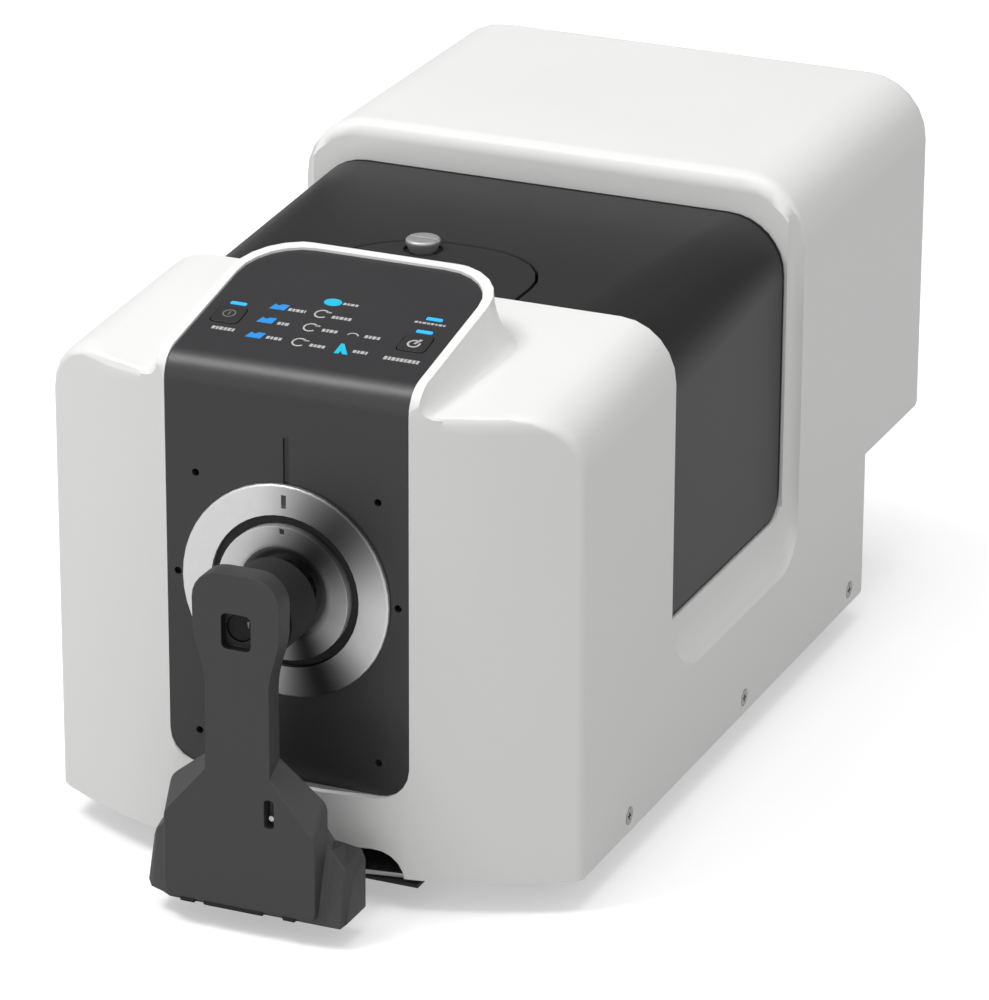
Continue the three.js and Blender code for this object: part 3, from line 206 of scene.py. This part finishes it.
# Finishes of mouldings: textures have a scale in repeats per metre

CLOUD_SCALE = 18
CLOUD_SHARE = 0.7
FLECK_SCALE = 900
FLECK_SHARE = 0.3
SHEEN_SPREAD = 0.06
GRAIN_ROUGHNESS = 0.6
DARK_GRAIN = 2200
DARK_GRAIN_DEPTH = 0.06 * MM
DARK_SPREAD = 3


def moulded(name, dark, light, roughness, grain, depth, specular=0.5):
    """Moulded plastic: a fine texture, and a faint cloudiness in tone and sheen."""
    finish = Finish(name)
    cloud = finish.noise(CLOUD_SCALE, 3)
    fleck = finish.noise(FLECK_SCALE, 2)
    finish.tone = finish.mix((cloud * CLOUD_SHARE + fleck * FLECK_SHARE).limited(), dark, light)
    finish.set(Base_Color=finish.tone, Roughness=cloud * SHEEN_SPREAD + roughness - SHEEN_SPREAD / 2,
               Specular_IOR_Level=specular)
    finish.bump(finish.noise(grain, 3, GRAIN_ROUGHNESS), depth)
    return finish


def dark_moulding(name, tone, roughness, specular):
    return moulded(name, colour(tone - DARK_SPREAD), colour(tone + DARK_SPREAD), roughness,
                   DARK_GRAIN, DARK_GRAIN_DEPTH, specular)


def cover_finish():
    return moulded("cover_white_moulding", colour(228, 228, 227), colour(232, 232, 231),
                   roughness=0.42, grain=1700, depth=0.03 * MM)


def sphere_finish():
    return moulded("sphere_lining", colour(238, 238, 234), colour(246, 246, 242),
                   roughness=0.85, grain=2400, depth=0.08 * MM, specular=0.2)


def rubber_finish():
    return moulded("black_rubber", colour(24), colour(32),
                   roughness=0.75, grain=1400, depth=0.1 * MM, specular=0.3)


GROOVE_HALF = 1.5 * MM
GROOVE_LOW = 186 * MM
GROOVE_HIGH = 208 * MM
GROOVE_REACH = 3 * MM
GROOVE_SHARE = 0.75


def panel_finish():
    """Dark panel, with the index groove above the port filled in darker."""
    finish = moulded("panel_charcoal", colour(43, 42, 44), colour(49, 48, 50),
                     roughness=0.38, grain=2600, depth=0.05 * MM)
    x, y, z = finish.axes()
    low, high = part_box("front_panel")
    groove = (abs(x) < GROOVE_HALF) * (z > GROOVE_LOW) * (z < GROOVE_HIGH) * (y < low.y + GROOVE_REACH)
    finish.set(Base_Color=finish.mix(groove * GROOVE_SHARE, finish.tone, colour(20, 19, 21)))
    return finish


LID_ROUGHNESS = 0.42
# Painted shadow: a black band along the lid's rear and lower edges, where its gaps to the cover are in shade
SHADOW_BAND_BEHIND = 3.2 * MM
SHADOW_BAND_BELOW = 1.2 * MM
SHADOW_BAND_SHARE = 0.95
SHADOW_BAND_DULLER = 0.4


def lid_finish():
    """The lid's and the deck's dark plastic, with a black painted shadow along the lid's rear and lower
    edges.
    """
    finish = dark_moulding("lid_charcoal", 43, LID_ROUGHNESS, 0.25)
    x, y, z = finish.axes()
    low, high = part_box("chamber_cover")
    # Painted shadow along the lid's gaps to the cover
    shadow_band = ((y > high.y - SHADOW_BAND_BEHIND) + (z < low.z + SHADOW_BAND_BELOW)).limited()
    finish.set(Base_Color=finish.mix(shadow_band * SHADOW_BAND_SHARE, finish.tone, colour(4)),
               Roughness=shadow_band * SHADOW_BAND_DULLER + LID_ROUGHNESS)
    return finish


# Painted shade inside the arm's window: its walls are painted near black
WINDOW_HALF = 7.2 * MM
WINDOW_LOW = 130 * MM
WINDOW_HIGH = 147 * MM
WINDOW_FRONT = -251.4 * MM
WINDOW_SHADE_SHARE = 0.9


def arm_finish():
    """The arm's dark plastic, with the walls of its window painted near black as painted shade."""
    finish = dark_moulding("arm_charcoal", 56, 0.5, 0.45)
    x, y, z = finish.axes()
    inside = (abs(x) < WINDOW_HALF) * (z > WINDOW_LOW) * (z < WINDOW_HIGH) * (y > WINDOW_FRONT)
    finish.set(Base_Color=finish.mix(inside * WINDOW_SHADE_SHARE, finish.tone, colour(10)))
    return finish


# Finishes of metal

# Painted reflection on turned metal: the base colour is bright round the port, with two painted dark streaks
# where the metal would mirror the unlit sides of a room. A streak has its middle and its half width, in
# degrees from +X up over the top, and its depth.
PAINTED_REFLECTION_BRIGHT = 226
PAINTED_REFLECTION_DARK = 40
PAINTED_REFLECTION_STREAKS = ((52, 58, 0.93), (293, 42, 1.0))
TURNING_SPACING = 0.35 * MM
TURNING_DEPTH = 0.01 * MM
MARK_HALF = 1.1 * MM
MARK_SHARE = 0.9
# Painted shade in the mask's hollow: the tone fades to dark grey inside a radius
PAINTED_SHADE_EDGE = 4 * MM
PAINTED_SHADE_REACH = 1.5 * MM
PAINTED_SHADE_SHARE = 0.85


def streak(finish, angle, middle, half_width, depth):
    """How much painted dark reflection an angle round the port has: most at a streak's middle, none past its
    half width.
    """
    edge = math.cos(math.radians(half_width))
    near = finish.math("COSINE", angle - math.radians(middle))
    inside = ((near - edge) / (1 - edge)).limited()
    return inside * inside * depth


def turned_finish(name, middle, mark, painted_shade_radius=0):
    """Satin metal turned about the port: painted reflection, turning lines, index mark, and painted shade
    inside a radius.
    """
    finish = Finish(name)
    x, y, z = finish.axes()
    across = x - middle[0]
    up = z - middle[1]
    radius = finish.math("SQRT", across * across + up * up)
    angle = finish.math("ARCTAN2", up, across)
    upper, lower = PAINTED_REFLECTION_STREAKS
    dark = streak(finish, angle, *upper) + streak(finish, angle, *lower)
    # Painted reflection: the dark streaks are painted into the base colour
    painted_reflection = finish.mix(dark, colour(PAINTED_REFLECTION_BRIGHT), colour(PAINTED_REFLECTION_DARK))
    tone = finish.mix(finish.noise(220, 2) * 0.10, painted_reflection, colour(120))
    # Painted shade: darker inside the given radius, where the mask's hollow lies in shade
    if painted_shade_radius:
        edge = ((painted_shade_radius + PAINTED_SHADE_REACH - radius) / PAINTED_SHADE_EDGE).limited()
        tone = finish.mix(edge * PAINTED_SHADE_SHARE, tone, colour(34))
    low, high = mark
    stroke = (abs(across) < MARK_HALF) * (up > low) * (up < high)
    tone = finish.mix(stroke * MARK_SHARE, tone, colour(40))
    lines = finish.math("SINE", radius * (math.tau / TURNING_SPACING))
    finish.set(Base_Color=tone, Metallic=0.75, Roughness=finish.noise(90, 2) * 0.1 + 0.38)
    finish.bump(lines, TURNING_DEPTH, 0.5)
    return finish


BRUSH_SCALE = 400
BRUSH_DEPTH = 0.02 * MM


def metal_finish(name, tone, roughness, stretch=(1, 1, 1), metallic=1.0):
    """Plated or brushed metal: the brushing runs along the least stretched axis."""
    finish = Finish(name)
    brushed = finish.noise(BRUSH_SCALE, 3, 0.6, stretch)
    finish.set(Base_Color=finish.mix(brushed, colour(tone - 14), colour(tone + 10)), Metallic=metallic,
               Roughness=brushed * 0.15 + roughness)
    finish.bump(brushed, BRUSH_DEPTH, 0.6)
    return finish


# Other finishes

def lamp_finish():
    """A lit light guide, with a faint frosting."""
    finish = Finish("lit_blue_guide")
    frost = finish.noise(1200, 2)
    blue = finish.mix(frost, colour(36, 150, 226), colour(58, 186, 240))
    finish.set(Base_Color=blue, Roughness=frost * 0.1 + 0.25, Emission_Color=blue, Emission_Strength=0.3)
    finish.bump(frost, 0.02 * MM)
    return finish


def board_finish():
    """Circuit board: green mask over fine copper tracks."""
    finish = Finish("board_green")
    wave = finish.node("ShaderNodeTexWave", {"bands_direction": "X", "wave_profile": "SAW"},
                       {"Vector": finish.place, "Scale": 260, "Distortion": 9, "Detail": 1})
    tracks = wave > 0.62
    finish.set(Base_Color=finish.mix(tracks, colour(22, 82, 48), colour(40, 112, 66)),
               Roughness=tracks * 0.12 + 0.32)
    finish.bump(tracks, 0.03 * MM)
    return finish


def glass_finish():
    finish = Finish("optical_glass")
    smear = finish.noise(60, 3)
    finish.set(Base_Color=colour(226, 236, 240), Roughness=smear * 0.05 + 0.02, Transmission_Weight=0.9)
    return finish


def print_finish(name, tone, glow=0.0):
    """Printed or lit symbols: an even ink with a fine screen."""
    finish = Finish(name)
    screen = finish.noise(3000, 2)
    dark = tuple(part * 0.86 for part in tone[:3]) + (1,)
    ink = finish.mix(screen, dark, tone)
    finish.set(Base_Color=ink, Roughness=screen * 0.15 + 0.4, Emission_Color=ink, Emission_Strength=glow)
    return finish


def port_middle():
    """The port's axis: across and up."""
    low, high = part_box("port_ring")
    return (low.x + high.x) / 2, (low.z + high.z) / 2


def assign(names, finish):
    """Gives CAD nodes their finish, in the slots that each already has."""
    for name in names:
        for slot in nodes[name].material_slots:
            slot.material = finish.material


def by_slot():
    """The nodes of each of the record's material slots."""
    groups = {}
    for part in frame["record"]["subparts"]:
        groups.setdefault(part["material_slot"], []).append(part["node"])
    return groups


RING_MARK = (37.8 * MM, 43.4 * MM)
MASK_MARK = (26.6 * MM, 29.3 * MM)
# Radius inside which the mask is painted darker, as painted shade in its hollow
MASK_PAINTED_SHADE = 20.6 * MM


def dress_nodes():
    middle = port_middle()
    groups = by_slot()
    finishes = {
        "cover_white": cover_finish(),
        "panel_dark": panel_finish(),
        "lid_dark": lid_finish(),
        "arm_dark": arm_finish(),
        "satin_silver": metal_finish("satin_silver", 200, 0.3),
        "steel": metal_finish("plated_steel", 168, 0.32, (1, 0.06, 1)),
        "black_plastic": dark_moulding("black_plastic", 24, 0.55, 0.3),
        "key_black": dark_moulding("key_black", 40, 0.42, 0.45),
        "black_rubber": rubber_finish(),
        "lamp_blue": lamp_finish(),
        "sphere_white": sphere_finish(),
        "board_green": board_finish(),
        "optical_glass": glass_finish(),
    }
    for slot, finish in finishes.items():
        assign(groups[slot], finish)
    assign(["port_ring"], turned_finish("turned_ring", middle, RING_MARK))
    assign(["target_mask"], turned_finish("turned_mask", middle, MASK_MARK, MASK_PAINTED_SHADE))
    assign(["cover_knob"], metal_finish("satin_knob", 172, 0.4, metallic=0.5))
    return finishes


# Softened edges on the carried-over nodes

SMOOTH_ANGLE = math.radians(38)
FLAT_ANGLE = math.radians(0.6)
WELD_REACH = 0.01 * MM
EDGE_SEGMENTS = 2


class Steps:
    """A geometry node group with a few helpers, used as a modifier."""

    def __init__(self, name):
        self.group = bpy.data.node_groups.new(name, "GeometryNodeTree")
        self.group.interface.new_socket("Geometry", in_out="INPUT", socket_type="NodeSocketGeometry")
        self.group.interface.new_socket("Geometry", in_out="OUTPUT", socket_type="NodeSocketGeometry")
        self.flow = self.group.nodes.new("NodeGroupInput").outputs[0]

    def node(self, kind, settings=None, inputs=()):
        return add_node(self.group, kind, settings, inputs).outputs[0]

    def math(self, operation, *values):
        return self.node("FunctionNodeBooleanMath", {"operation": operation}, values)

    def compare(self, operation, first, second):
        return self.node("FunctionNodeCompare", {"operation": operation}, [first, second])

    def end(self):
        add_node(self.group, "NodeGroupOutput", {}, [self.flow])
        return self.group


def weight_group(angle, bare=()):
    """Marks the edges to round: those that turn more than an angle, outside the boxes that are left bare."""
    steps = Steps("edge_weights")
    turn = steps.node("GeometryNodeInputMeshEdgeAngle")
    chosen = steps.compare("GREATER_THAN", turn, angle)
    place = steps.node("GeometryNodeInputPosition")
    across, along, up = add_node(steps.group, "ShaderNodeSeparateXYZ", {}, [place]).outputs
    across = steps.node("ShaderNodeMath", {"operation": "ABSOLUTE"}, [across])
    for spans in bare:
        inside = None
        for value, (low, high) in zip((across, along, up), spans):
            above = steps.compare("GREATER_THAN", value, low * MM)
            within = steps.math("AND", above, steps.compare("LESS_THAN", value, high * MM))
            inside = steps.math("AND", inside, within) if inside else within
        chosen = steps.math("AND", chosen, steps.math("NOT", inside))
    steps.flow = steps.node("GeometryNodeStoreNamedAttribute", {"data_type": "FLOAT", "domain": "EDGE"},
                            {"Geometry": steps.flow, "Name": "bevel_weight_edge", "Value": chosen})
    return steps.end()


def shading_group():
    """Smooth shading between faces that meet at a small angle."""
    steps = Steps("smooth_shading")
    steps.flow = steps.node("GeometryNodeRemoveAttribute", {}, {0: steps.flow, "Name": "custom_normal"})
    angle = steps.node("GeometryNodeInputMeshEdgeAngle")
    small = steps.compare("LESS_THAN", angle, SMOOTH_ANGLE)
    steps.flow = steps.node("GeometryNodeSetShadeSmooth", {"domain": "EDGE"},
                            {0: steps.flow, "Shade Smooth": small})
    steps.flow = steps.node("GeometryNodeSetShadeSmooth", {}, [steps.flow])
    return steps.end()


def soften(node, shading, width=0.0, angle=0, bare=()):
    """Welds the node's faces, rounds the edges that turn more than an angle, and shades it smooth."""
    weld = node.modifiers.new("weld", "WELD")
    weld.merge_threshold = WELD_REACH
    if width:
        flat = node.modifiers.new("flat", "DECIMATE")
        flat.decimate_type = "DISSOLVE"
        flat.angle_limit = FLAT_ANGLE
        marks = node.modifiers.new("marks", "NODES")
        marks.node_group = weight_group(math.radians(angle), bare)
        edge = node.modifiers.new("edge", "BEVEL")
        edge.width = width * MM
        edge.segments = EDGE_SEGMENTS
        edge.limit_method = "WEIGHT"
        edge.use_clamp_overlap = False
    shade = node.modifiers.new("shade", "NODES")
    shade.node_group = shading
    weight = node.modifiers.new("weight", "WEIGHTED_NORMAL")
    weight.keep_sharp = True


# Boxes in millimetres that are left bare, with across counted to both sides, along and up. On the cover: the
# panel's pocket and its rim, the foot of the moulding inside, and the front edge of the rear housing.
COVER_BARE = [((0, 75), (-210, -100), (44, 262)),
              ((0, 122), (-202, 250), (12, 17)),
              ((0, 125), (66, 96), (86, 262))]
# On the arm: inside its window, and the room for the hinge
ARM_BARE = [((0, 12), (-249, -236), (126, 150)),
            ((0, 35), (-245.5, -222), (8, 62))]
# Width of the rounding in millimetres, least turn in degrees, and the boxes left bare
EDGES = {
    "main_cover": (0.6, 35, COVER_BARE),
    "chamber_cover": (0.9, 30),
    "chamber_deck": (0.35, 30),
    "holder_arm": (0.6, 50, ARM_BARE),
    "sample_pad": (0.5, 30),
    "port_ring": (0.25, 30),
    "target_mask": (0.25, 30),
    "cover_knob": (0.25, 30),
    "power_button": (0.3, 30),
    "measure_button": (0.3, 30),
    "holder_bracket": (0.3, 30),
}


def soften_nodes():
    shading = shading_group()
    for name, node in nodes.items():
        soften(node, shading, *EDGES.get(name, ()))


# Printing on the control face

def new_piece(name, verts, faces, finish, body):
    mesh = bpy.data.meshes.new(name)
    mesh.from_pydata(verts, [], faces)
    mesh.update()
    mesh.materials.append(finish.material)
    piece = bpy.data.objects.new(name, mesh)
    bpy.context.scene.collection.objects.link(piece)
    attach(piece, body)
    return piece


FACE_Y = -192.014 * MM
FACE_Z = 237.04 * MM
FACE_SLOPE = math.radians(11.6)
INK = 0.12 * MM
INK_GAP = 0.02 * MM
KEY_TOP = 0.4 * MM
BLOCK_WIDTHS = (1.5, 1.1, 1.7, 1.3)
BLOCK_GAP = 0.45
LEAST_BLOCK = 0.5


def on_face(x, along, proud):
    """A point on the control face: across, up the slope from the bend, and out of the face."""
    return Vector((x, FACE_Y + along * math.cos(FACE_SLOPE) - proud * math.sin(FACE_SLOPE),
                   FACE_Z + along * math.sin(FACE_SLOPE) + proud * math.cos(FACE_SLOPE)))


class Print:
    """Flat symbols gathered into one thin mesh on the control face; their measures are millimetres."""

    def __init__(self, lift=0.0):
        self.verts = []
        self.faces = []
        self.lift = lift + INK_GAP

    def shape(self, outline):
        """A filled outline of (x, along) points, as a thin closed slab."""
        first = len(self.verts)
        count = len(outline)
        for proud in (self.lift, self.lift + INK):
            self.verts += [on_face(x * MM, along * MM, proud) for x, along in outline]
        self.faces.append([first + i for i in reversed(range(count))])
        self.faces.append([first + count + i for i in range(count)])
        for i in range(count):
            after = (i + 1) % count
            self.faces.append([first + i, first + after, first + count + after, first + count + i])

    def box(self, x, along, width, depth):
        self.shape([(x - width / 2, along - depth / 2), (x + width / 2, along - depth / 2),
                    (x + width / 2, along + depth / 2), (x - width / 2, along + depth / 2)])

    def ring(self, x, along, radius, line, start=0.0, end=360.0, steps=24):
        """An arc of a line's width, made of short closed pieces end to end."""
        turns = [math.radians(start + (end - start) * i / steps) for i in range(steps + 1)]
        for turn, after in zip(turns, turns[1:]):
            corners = [(radius, turn), (radius, after), (radius - line, after), (radius - line, turn)]
            self.shape([(x + r * math.cos(t), along + r * math.sin(t)) for r, t in corners][::-1])

    def disc(self, x, along, across, depth, steps=20):
        turns = [math.tau * i / steps for i in range(steps)]
        self.shape([(x + across / 2 * math.cos(turn), along + depth / 2 * math.sin(turn)) for turn in turns])

    def row(self, x, along, length, height):
        """A plain label place: a row of small blocks."""
        place = x - length / 2
        i = 0
        while place < x + length / 2 - LEAST_BLOCK:
            width = min(BLOCK_WIDTHS[i % len(BLOCK_WIDTHS)], x + length / 2 - place)
            self.box(place + width / 2, along, width, height)
            place += width + BLOCK_GAP
            i += 1

    def finish(self, name, finish, body, slot):
        return new_piece(name, self.verts, self.faces, finish, body)


# Middle across and along, length and height of each row of blocks
LABELS = [(-17.5, 39.4, 8, 2.1), (-18.3, 27.8, 6, 2.1), (-17.4, 16.0, 7, 2.1), (3.0, 50.0, 7.5, 1.6),
          (3.6, 38.7, 9, 2.1), (3.2, 27.8, 7.4, 2.1), (3.4, 15.2, 7.8, 2.1), (22.7, 27.9, 7, 2.1),
          (22.6, 15.6, 6.6, 2.1), (-41.6, 17.4, 11, 2.3), (41.9, 14.6, 16, 2.5), (41.7, 44.9, 14, 1.3)]
OPEN_RINGS = [(-6.2, 39.8), (-6.2, 28.4), (-5.8, 16.1)]
RANGE_ICONS = [(-26.2, 40.2), (-26.8, 28.7), (-26.3, 16.3)]
RANGE_OUTLINE = [(-3.9, -2.2), (3.2, -2.2), (3.9, 2.4), (0.8, 2.4), (-0.6, 1.0), (-2.6, 2.0)]
MODE_SPOT = (-5.5, 49.9, 8.2, 5.8)
MODE_OUTLINE = [(12.0, 12.1), (14.0, 12.1), (14.3, 14.6), (15.6, 12.3), (18.2, 12.3), (13.4, 20.0),
                (11.9, 20.0)]
TICK = [(41.6, 27.6), (42.6, 27.4), (44.6, 31.2), (43.2, 31.4)]


def face_labels(ink):
    page = Print()
    for x, along, length, height in LABELS:
        page.row(x, along, length, height)
    for x, along in OPEN_RINGS:
        page.ring(x, along, 3.3, 0.8, 30, 320)
        page.box(x + 2.6, along + 1.9, 2.4, 0.8)
    page.ring(13.9, 26.4, 2.9, 0.6, 20, 160, 10)
    page.finish("face_printing", ink, "housing", "satin_silver")


def face_icons(blue, cyan):
    bars = Print()
    for x, along in RANGE_ICONS:
        bars.shape([(x + across, along + up) for across, up in RANGE_OUTLINE])
    bars.finish("range_icons", blue, "housing", "lamp_blue")
    spots = Print()
    spots.disc(*MODE_SPOT)
    spots.shape(MODE_OUTLINE)
    spots.finish("mode_icons", cyan, "housing", "lamp_blue")


def key_glyphs(ink, dim):
    """The symbols on the two keys: a ring with a bar on the power key, a ring with a tick on the other."""
    power = Print(KEY_TOP)
    power.ring(-44.4, 29.0, 2.9, 0.45)
    power.box(-44.4, 29.2, 0.45, 2.6)
    power.finish("power_glyph", dim, "power_key", "satin_silver")
    measure = Print(KEY_TOP)
    measure.ring(41.9, 27.6, 3.0, 0.9, 60, 380)
    measure.shape(TICK)
    measure.finish("measure_glyph", ink, "measure_key", "satin_silver")


# Small fittings

def slab(outline, front, back):
    """A closed slab: an outline of (x, z) points in millimetres, between two places along Y."""
    count = len(outline)
    verts = [Vector((x, y, z)) * MM for y in (front, back) for x, z in outline]
    faces = [list(range(count)), [count + i for i in reversed(range(count))]]
    faces += [[i, count + i, count + (i + 1) % count, (i + 1) % count] for i in range(count)]
    return verts, faces


def turned_points(profile, steps, middle, upright):
    """A ring of points for each radius and reach of a profile in millimetres, about Z or else about Y."""
    points = []
    for radius, reach in profile:
        for k in range(steps):
            across = radius * MM * math.cos(math.tau * k / steps)
            round_it = radius * MM * math.sin(math.tau * k / steps)
            offset = (across, round_it, reach * MM) if upright else (across, reach * MM, round_it)
            points.append([start + step for start, step in zip(middle, offset)])
    return points


def turned_faces(pairs, steps):
    """The faces between pairs of rings of points."""
    faces = []
    for ring, ahead in pairs:
        for k in range(steps):
            after = (k + 1) % steps
            faces.append([ring * steps + k, ahead * steps + k, ahead * steps + after, ring * steps + after])
    return faces


def closed(piece, width=0.0):
    """Turns all faces outwards, and rounds the edges."""
    work = bmesh.new()
    work.from_mesh(piece.data)
    bmesh.ops.recalc_face_normals(work, faces=work.faces)
    if width:
        bmesh.ops.bevel(work, geom=work.edges[:], offset=width, segments=EDGE_SEGMENTS, affect="EDGES",
                        clamp_overlap=True)
    work.to_mesh(piece.data)
    work.free()
    for face in piece.data.polygons:
        face.use_smooth = True
    piece.modifiers.new("weight", "WEIGHTED_NORMAL")
    return piece


# The arm's front face and foot, and the black strips' left and right sides
ARM_FRONT = -252.1
ARM_BASE = 12
FOOT_STRIP_LOW = ARM_BASE - 1.5
FOOT_STRIP_HIGH = ARM_BASE + 0.8
ARM_FOOT_STRIPS = [("arm_foot_strip_left", -28, -21), ("arm_foot_strip_middle", -17, 11), ("arm_foot_strip_right", 20, 26)]
FOOT_STRIP_ROUNDING = 0.4 * MM
GLINT_PIECE_OUTLINE = [(3.0, 142.4), (4.4, 142.6), (4.3, 139.6), (3.7, 139.2)]
GLINT_PIECE_ROUNDING = 0.2 * MM


def arm_fittings(rubber, grey):
    """Black strips along the arm's foot, and a grey piece on the pad's stem, a painted highlight that shows
    in the arm's window.
    """
    # Black strips along the bottom of the arm's front
    for name, left, right in ARM_FOOT_STRIPS:
        outline = [(left, FOOT_STRIP_LOW), (right, FOOT_STRIP_LOW), (right, FOOT_STRIP_HIGH), (left, FOOT_STRIP_HIGH)]
        verts, faces = slab(outline, ARM_FRONT - 0.3, ARM_FRONT + 8)
        closed(new_piece(name, verts, faces, rubber, "arm"), FOOT_STRIP_ROUNDING)
    # Painted highlight: a small grey piece on the stem's end, where the arm's window shows a glint
    stem_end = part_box("sample_pad")[0].y / MM
    verts, faces = slab(GLINT_PIECE_OUTLINE, stem_end - 0.5, stem_end + 0.4)
    closed(new_piece("stem_glint_piece", verts, faces, grey, "pad"), GLINT_PIECE_ROUNDING)


SCREW_STEPS = 20
SCREW_PROFILE = [(1.4, 1.4), (2.6, 0.8), (2.9, 0.0), (2.9, -0.4)]
SCREW_INSET = 6 * MM
SCREW_RAISE = 5 * MM
SCREW_DROP = 6 * MM


def plate_screws(steel):
    """The four screws of the connector plate, with low domed heads."""
    low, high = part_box("rear_panel")
    steps = SCREW_STEPS
    last = len(SCREW_PROFILE) - 1
    faces = [list(range(steps)), [last * steps + k for k in reversed(range(steps))]]
    faces += turned_faces([(ring, ring + 1) for ring in range(last)], steps)
    heights = (low.z + SCREW_INSET + SCREW_RAISE, high.z - SCREW_INSET - SCREW_DROP)
    places = [(x, z) for x in (low.x + SCREW_INSET, high.x - SCREW_INSET) for z in heights]
    for i, (x, z) in enumerate(places):
        verts = turned_points(SCREW_PROFILE, steps, (x, high.y, z), upright=False)
        closed(new_piece(f"plate_screw_{i + 1}", verts, faces, steel, "housing"))


TREAD_STEPS = 32
TREAD_PROFILE = [(8, 0.05), (9.5, 0.05), (9.5, 0.6), (8, 0.6)]


def foot_treads(rubber):
    """Grip rings under the feet."""
    faces = turned_faces([(0, 1), (1, 2), (2, 3), (3, 0)], TREAD_STEPS)
    for i in range(1, 5):
        low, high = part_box(f"foot_{i}")
        middle = (low + high) / 2
        verts = turned_points(TREAD_PROFILE, TREAD_STEPS, (middle.x, middle.y, 0), upright=True)
        closed(new_piece(f"foot_tread_{i}", verts, faces, rubber, "housing"))


def add_pieces(finishes):
    ink = print_finish("printed_white", colour(182))
    dim = print_finish("printed_grey", colour(128))
    blue = print_finish("lit_blue", colour(26, 128, 200), 0.35)
    cyan = print_finish("lit_cyan", colour(0, 166, 200), 0.4)
    face_labels(ink)
    face_icons(blue, cyan)
    key_glyphs(ink, dim)
    arm_fittings(finishes["black_rubber"], metal_finish("dull_glint_piece", 120, 0.45))
    plate_screws(finishes["steel"])
    foot_treads(finishes["black_rubber"])


# Floor, world and lamps

FLOOR_REACH = 30
FLOOR_TONE = 0.8
FLOOR_GLOW = 0.38
FLOOR_BOUNCE = 0.42
MIRROR_GLOW = 0.4
AMBIENT = 0.58
REAR_MIRROR = 0.12
REAR_START = 0.1
REAR_END = 0.55
LAMP_AIM = Vector((0, 0, 0.12))
LAMP_DISTANCE = 3.0
# Direction, size in metres and power in watts
LAMPS = [("key_lamp", (-0.40, -0.28, 0.87), (1.2, 0.9), 40),
         ("top_lamp", (0.10, -0.05, 0.99), (1.5, 1.5), 25),
         ("front_lamp", (0.10, -0.98, 0.10), (2.0, 1.6), 14)]


def paper(tree, tone, glow):
    """Matt paper with a little light of its own."""
    matt = add_node(tree, "ShaderNodeBsdfDiffuse", {}, {"Color": (tone, tone, tone, 1)})
    light = add_node(tree, "ShaderNodeEmission", {}, {"Strength": glow})
    return add_node(tree, "ShaderNodeAddShader", {}, [matt.outputs[0], light.outputs[0]]).outputs[0]


def floor_material():
    """White to the camera where no shadow falls, dimmer in reflections, and mid grey to soft light."""
    material = bpy.data.materials.new("pale_floor")
    material.use_nodes = True
    tree = material.node_tree
    tree.nodes.clear()
    path = add_node(tree, "ShaderNodeLightPath").outputs
    soft = paper(tree, FLOOR_BOUNCE, 0)
    mirrored = paper(tree, FLOOR_BOUNCE, MIRROR_GLOW)
    seen = paper(tree, FLOOR_TONE, FLOOR_GLOW)
    unseen = add_node(tree, "ShaderNodeMixShader", {}, [path["Is Glossy Ray"], soft, mirrored]).outputs[0]
    surface = add_node(tree, "ShaderNodeMixShader", {}, [path["Is Camera Ray"], unseen, seen]).outputs[0]
    add_node(tree, "ShaderNodeOutputMaterial", {}, {"Surface": surface})
    return material


def add_floor():
    mesh = bpy.data.meshes.new("floor")
    corners = [(-1, -1), (1, -1), (1, 1), (-1, 1)]
    mesh.from_pydata([(x * FLOOR_REACH, y * FLOOR_REACH, 0) for x, y in corners], [], [(0, 1, 2, 3)])
    mesh.materials.append(floor_material())
    floor = bpy.data.objects.new("floor", mesh)
    bpy.context.scene.collection.objects.link(floor)


def add_world():
    """Even light all round: plain white to the camera and glass, and dim reflections of the room's rear."""
    world = bpy.data.worlds.new("studio")
    bpy.context.scene.world = world
    world.use_nodes = True
    tree = world.node_tree
    path = add_node(tree, "ShaderNodeLightPath").outputs
    direction = add_node(tree, "ShaderNodeTexCoord").outputs["Generated"]
    heading = add_node(tree, "ShaderNodeSeparateXYZ", {}, [direction]).outputs
    mirror = add_node(tree, "ShaderNodeMapRange", {}, {
        "Value": heading["Y"], "From Min": REAR_START, "From Max": REAR_END,
        "To Min": 1.0, "To Max": REAR_MIRROR}).outputs[0]
    seen = add_node(tree, "ShaderNodeMath", {"operation": "MAXIMUM"},
                    [path["Is Camera Ray"], path["Is Transmission Ray"]]).outputs[0]
    plain = add_node(tree, "ShaderNodeMapRange", {},
                     {"Value": seen, "To Min": AMBIENT, "To Max": 1.0}).outputs[0]
    strength = add_node(tree, "ShaderNodeMix", {},
                        {"Factor": path["Is Glossy Ray"], "A": plain, "B": mirror}).outputs[0]
    background = tree.nodes["Background"]
    background.inputs["Color"].default_value = (1, 1, 1, 1)
    tree.links.new(strength, background.inputs["Strength"])


def add_lamps():
    for name, direction, size, power in LAMPS:
        light = bpy.data.lights.new(name, "AREA")
        light.shape = "RECTANGLE"
        light.size, light.size_y = size
        light.energy = power
        lamp = bpy.data.objects.new(name, light)
        bpy.context.scene.collection.objects.link(lamp)
        lamp.location = LAMP_AIM + Vector(direction).normalized() * LAMP_DISTANCE
        lamp.rotation_euler = (LAMP_AIM - lamp.location).to_track_quat("-Z", "Y").to_euler()


finishes = dress_nodes()
soften_nodes()
add_camera()
add_pieces(finishes)
add_floor()
add_world()
add_lamps()
bpy.context.scene.view_settings.view_transform = "Standard"
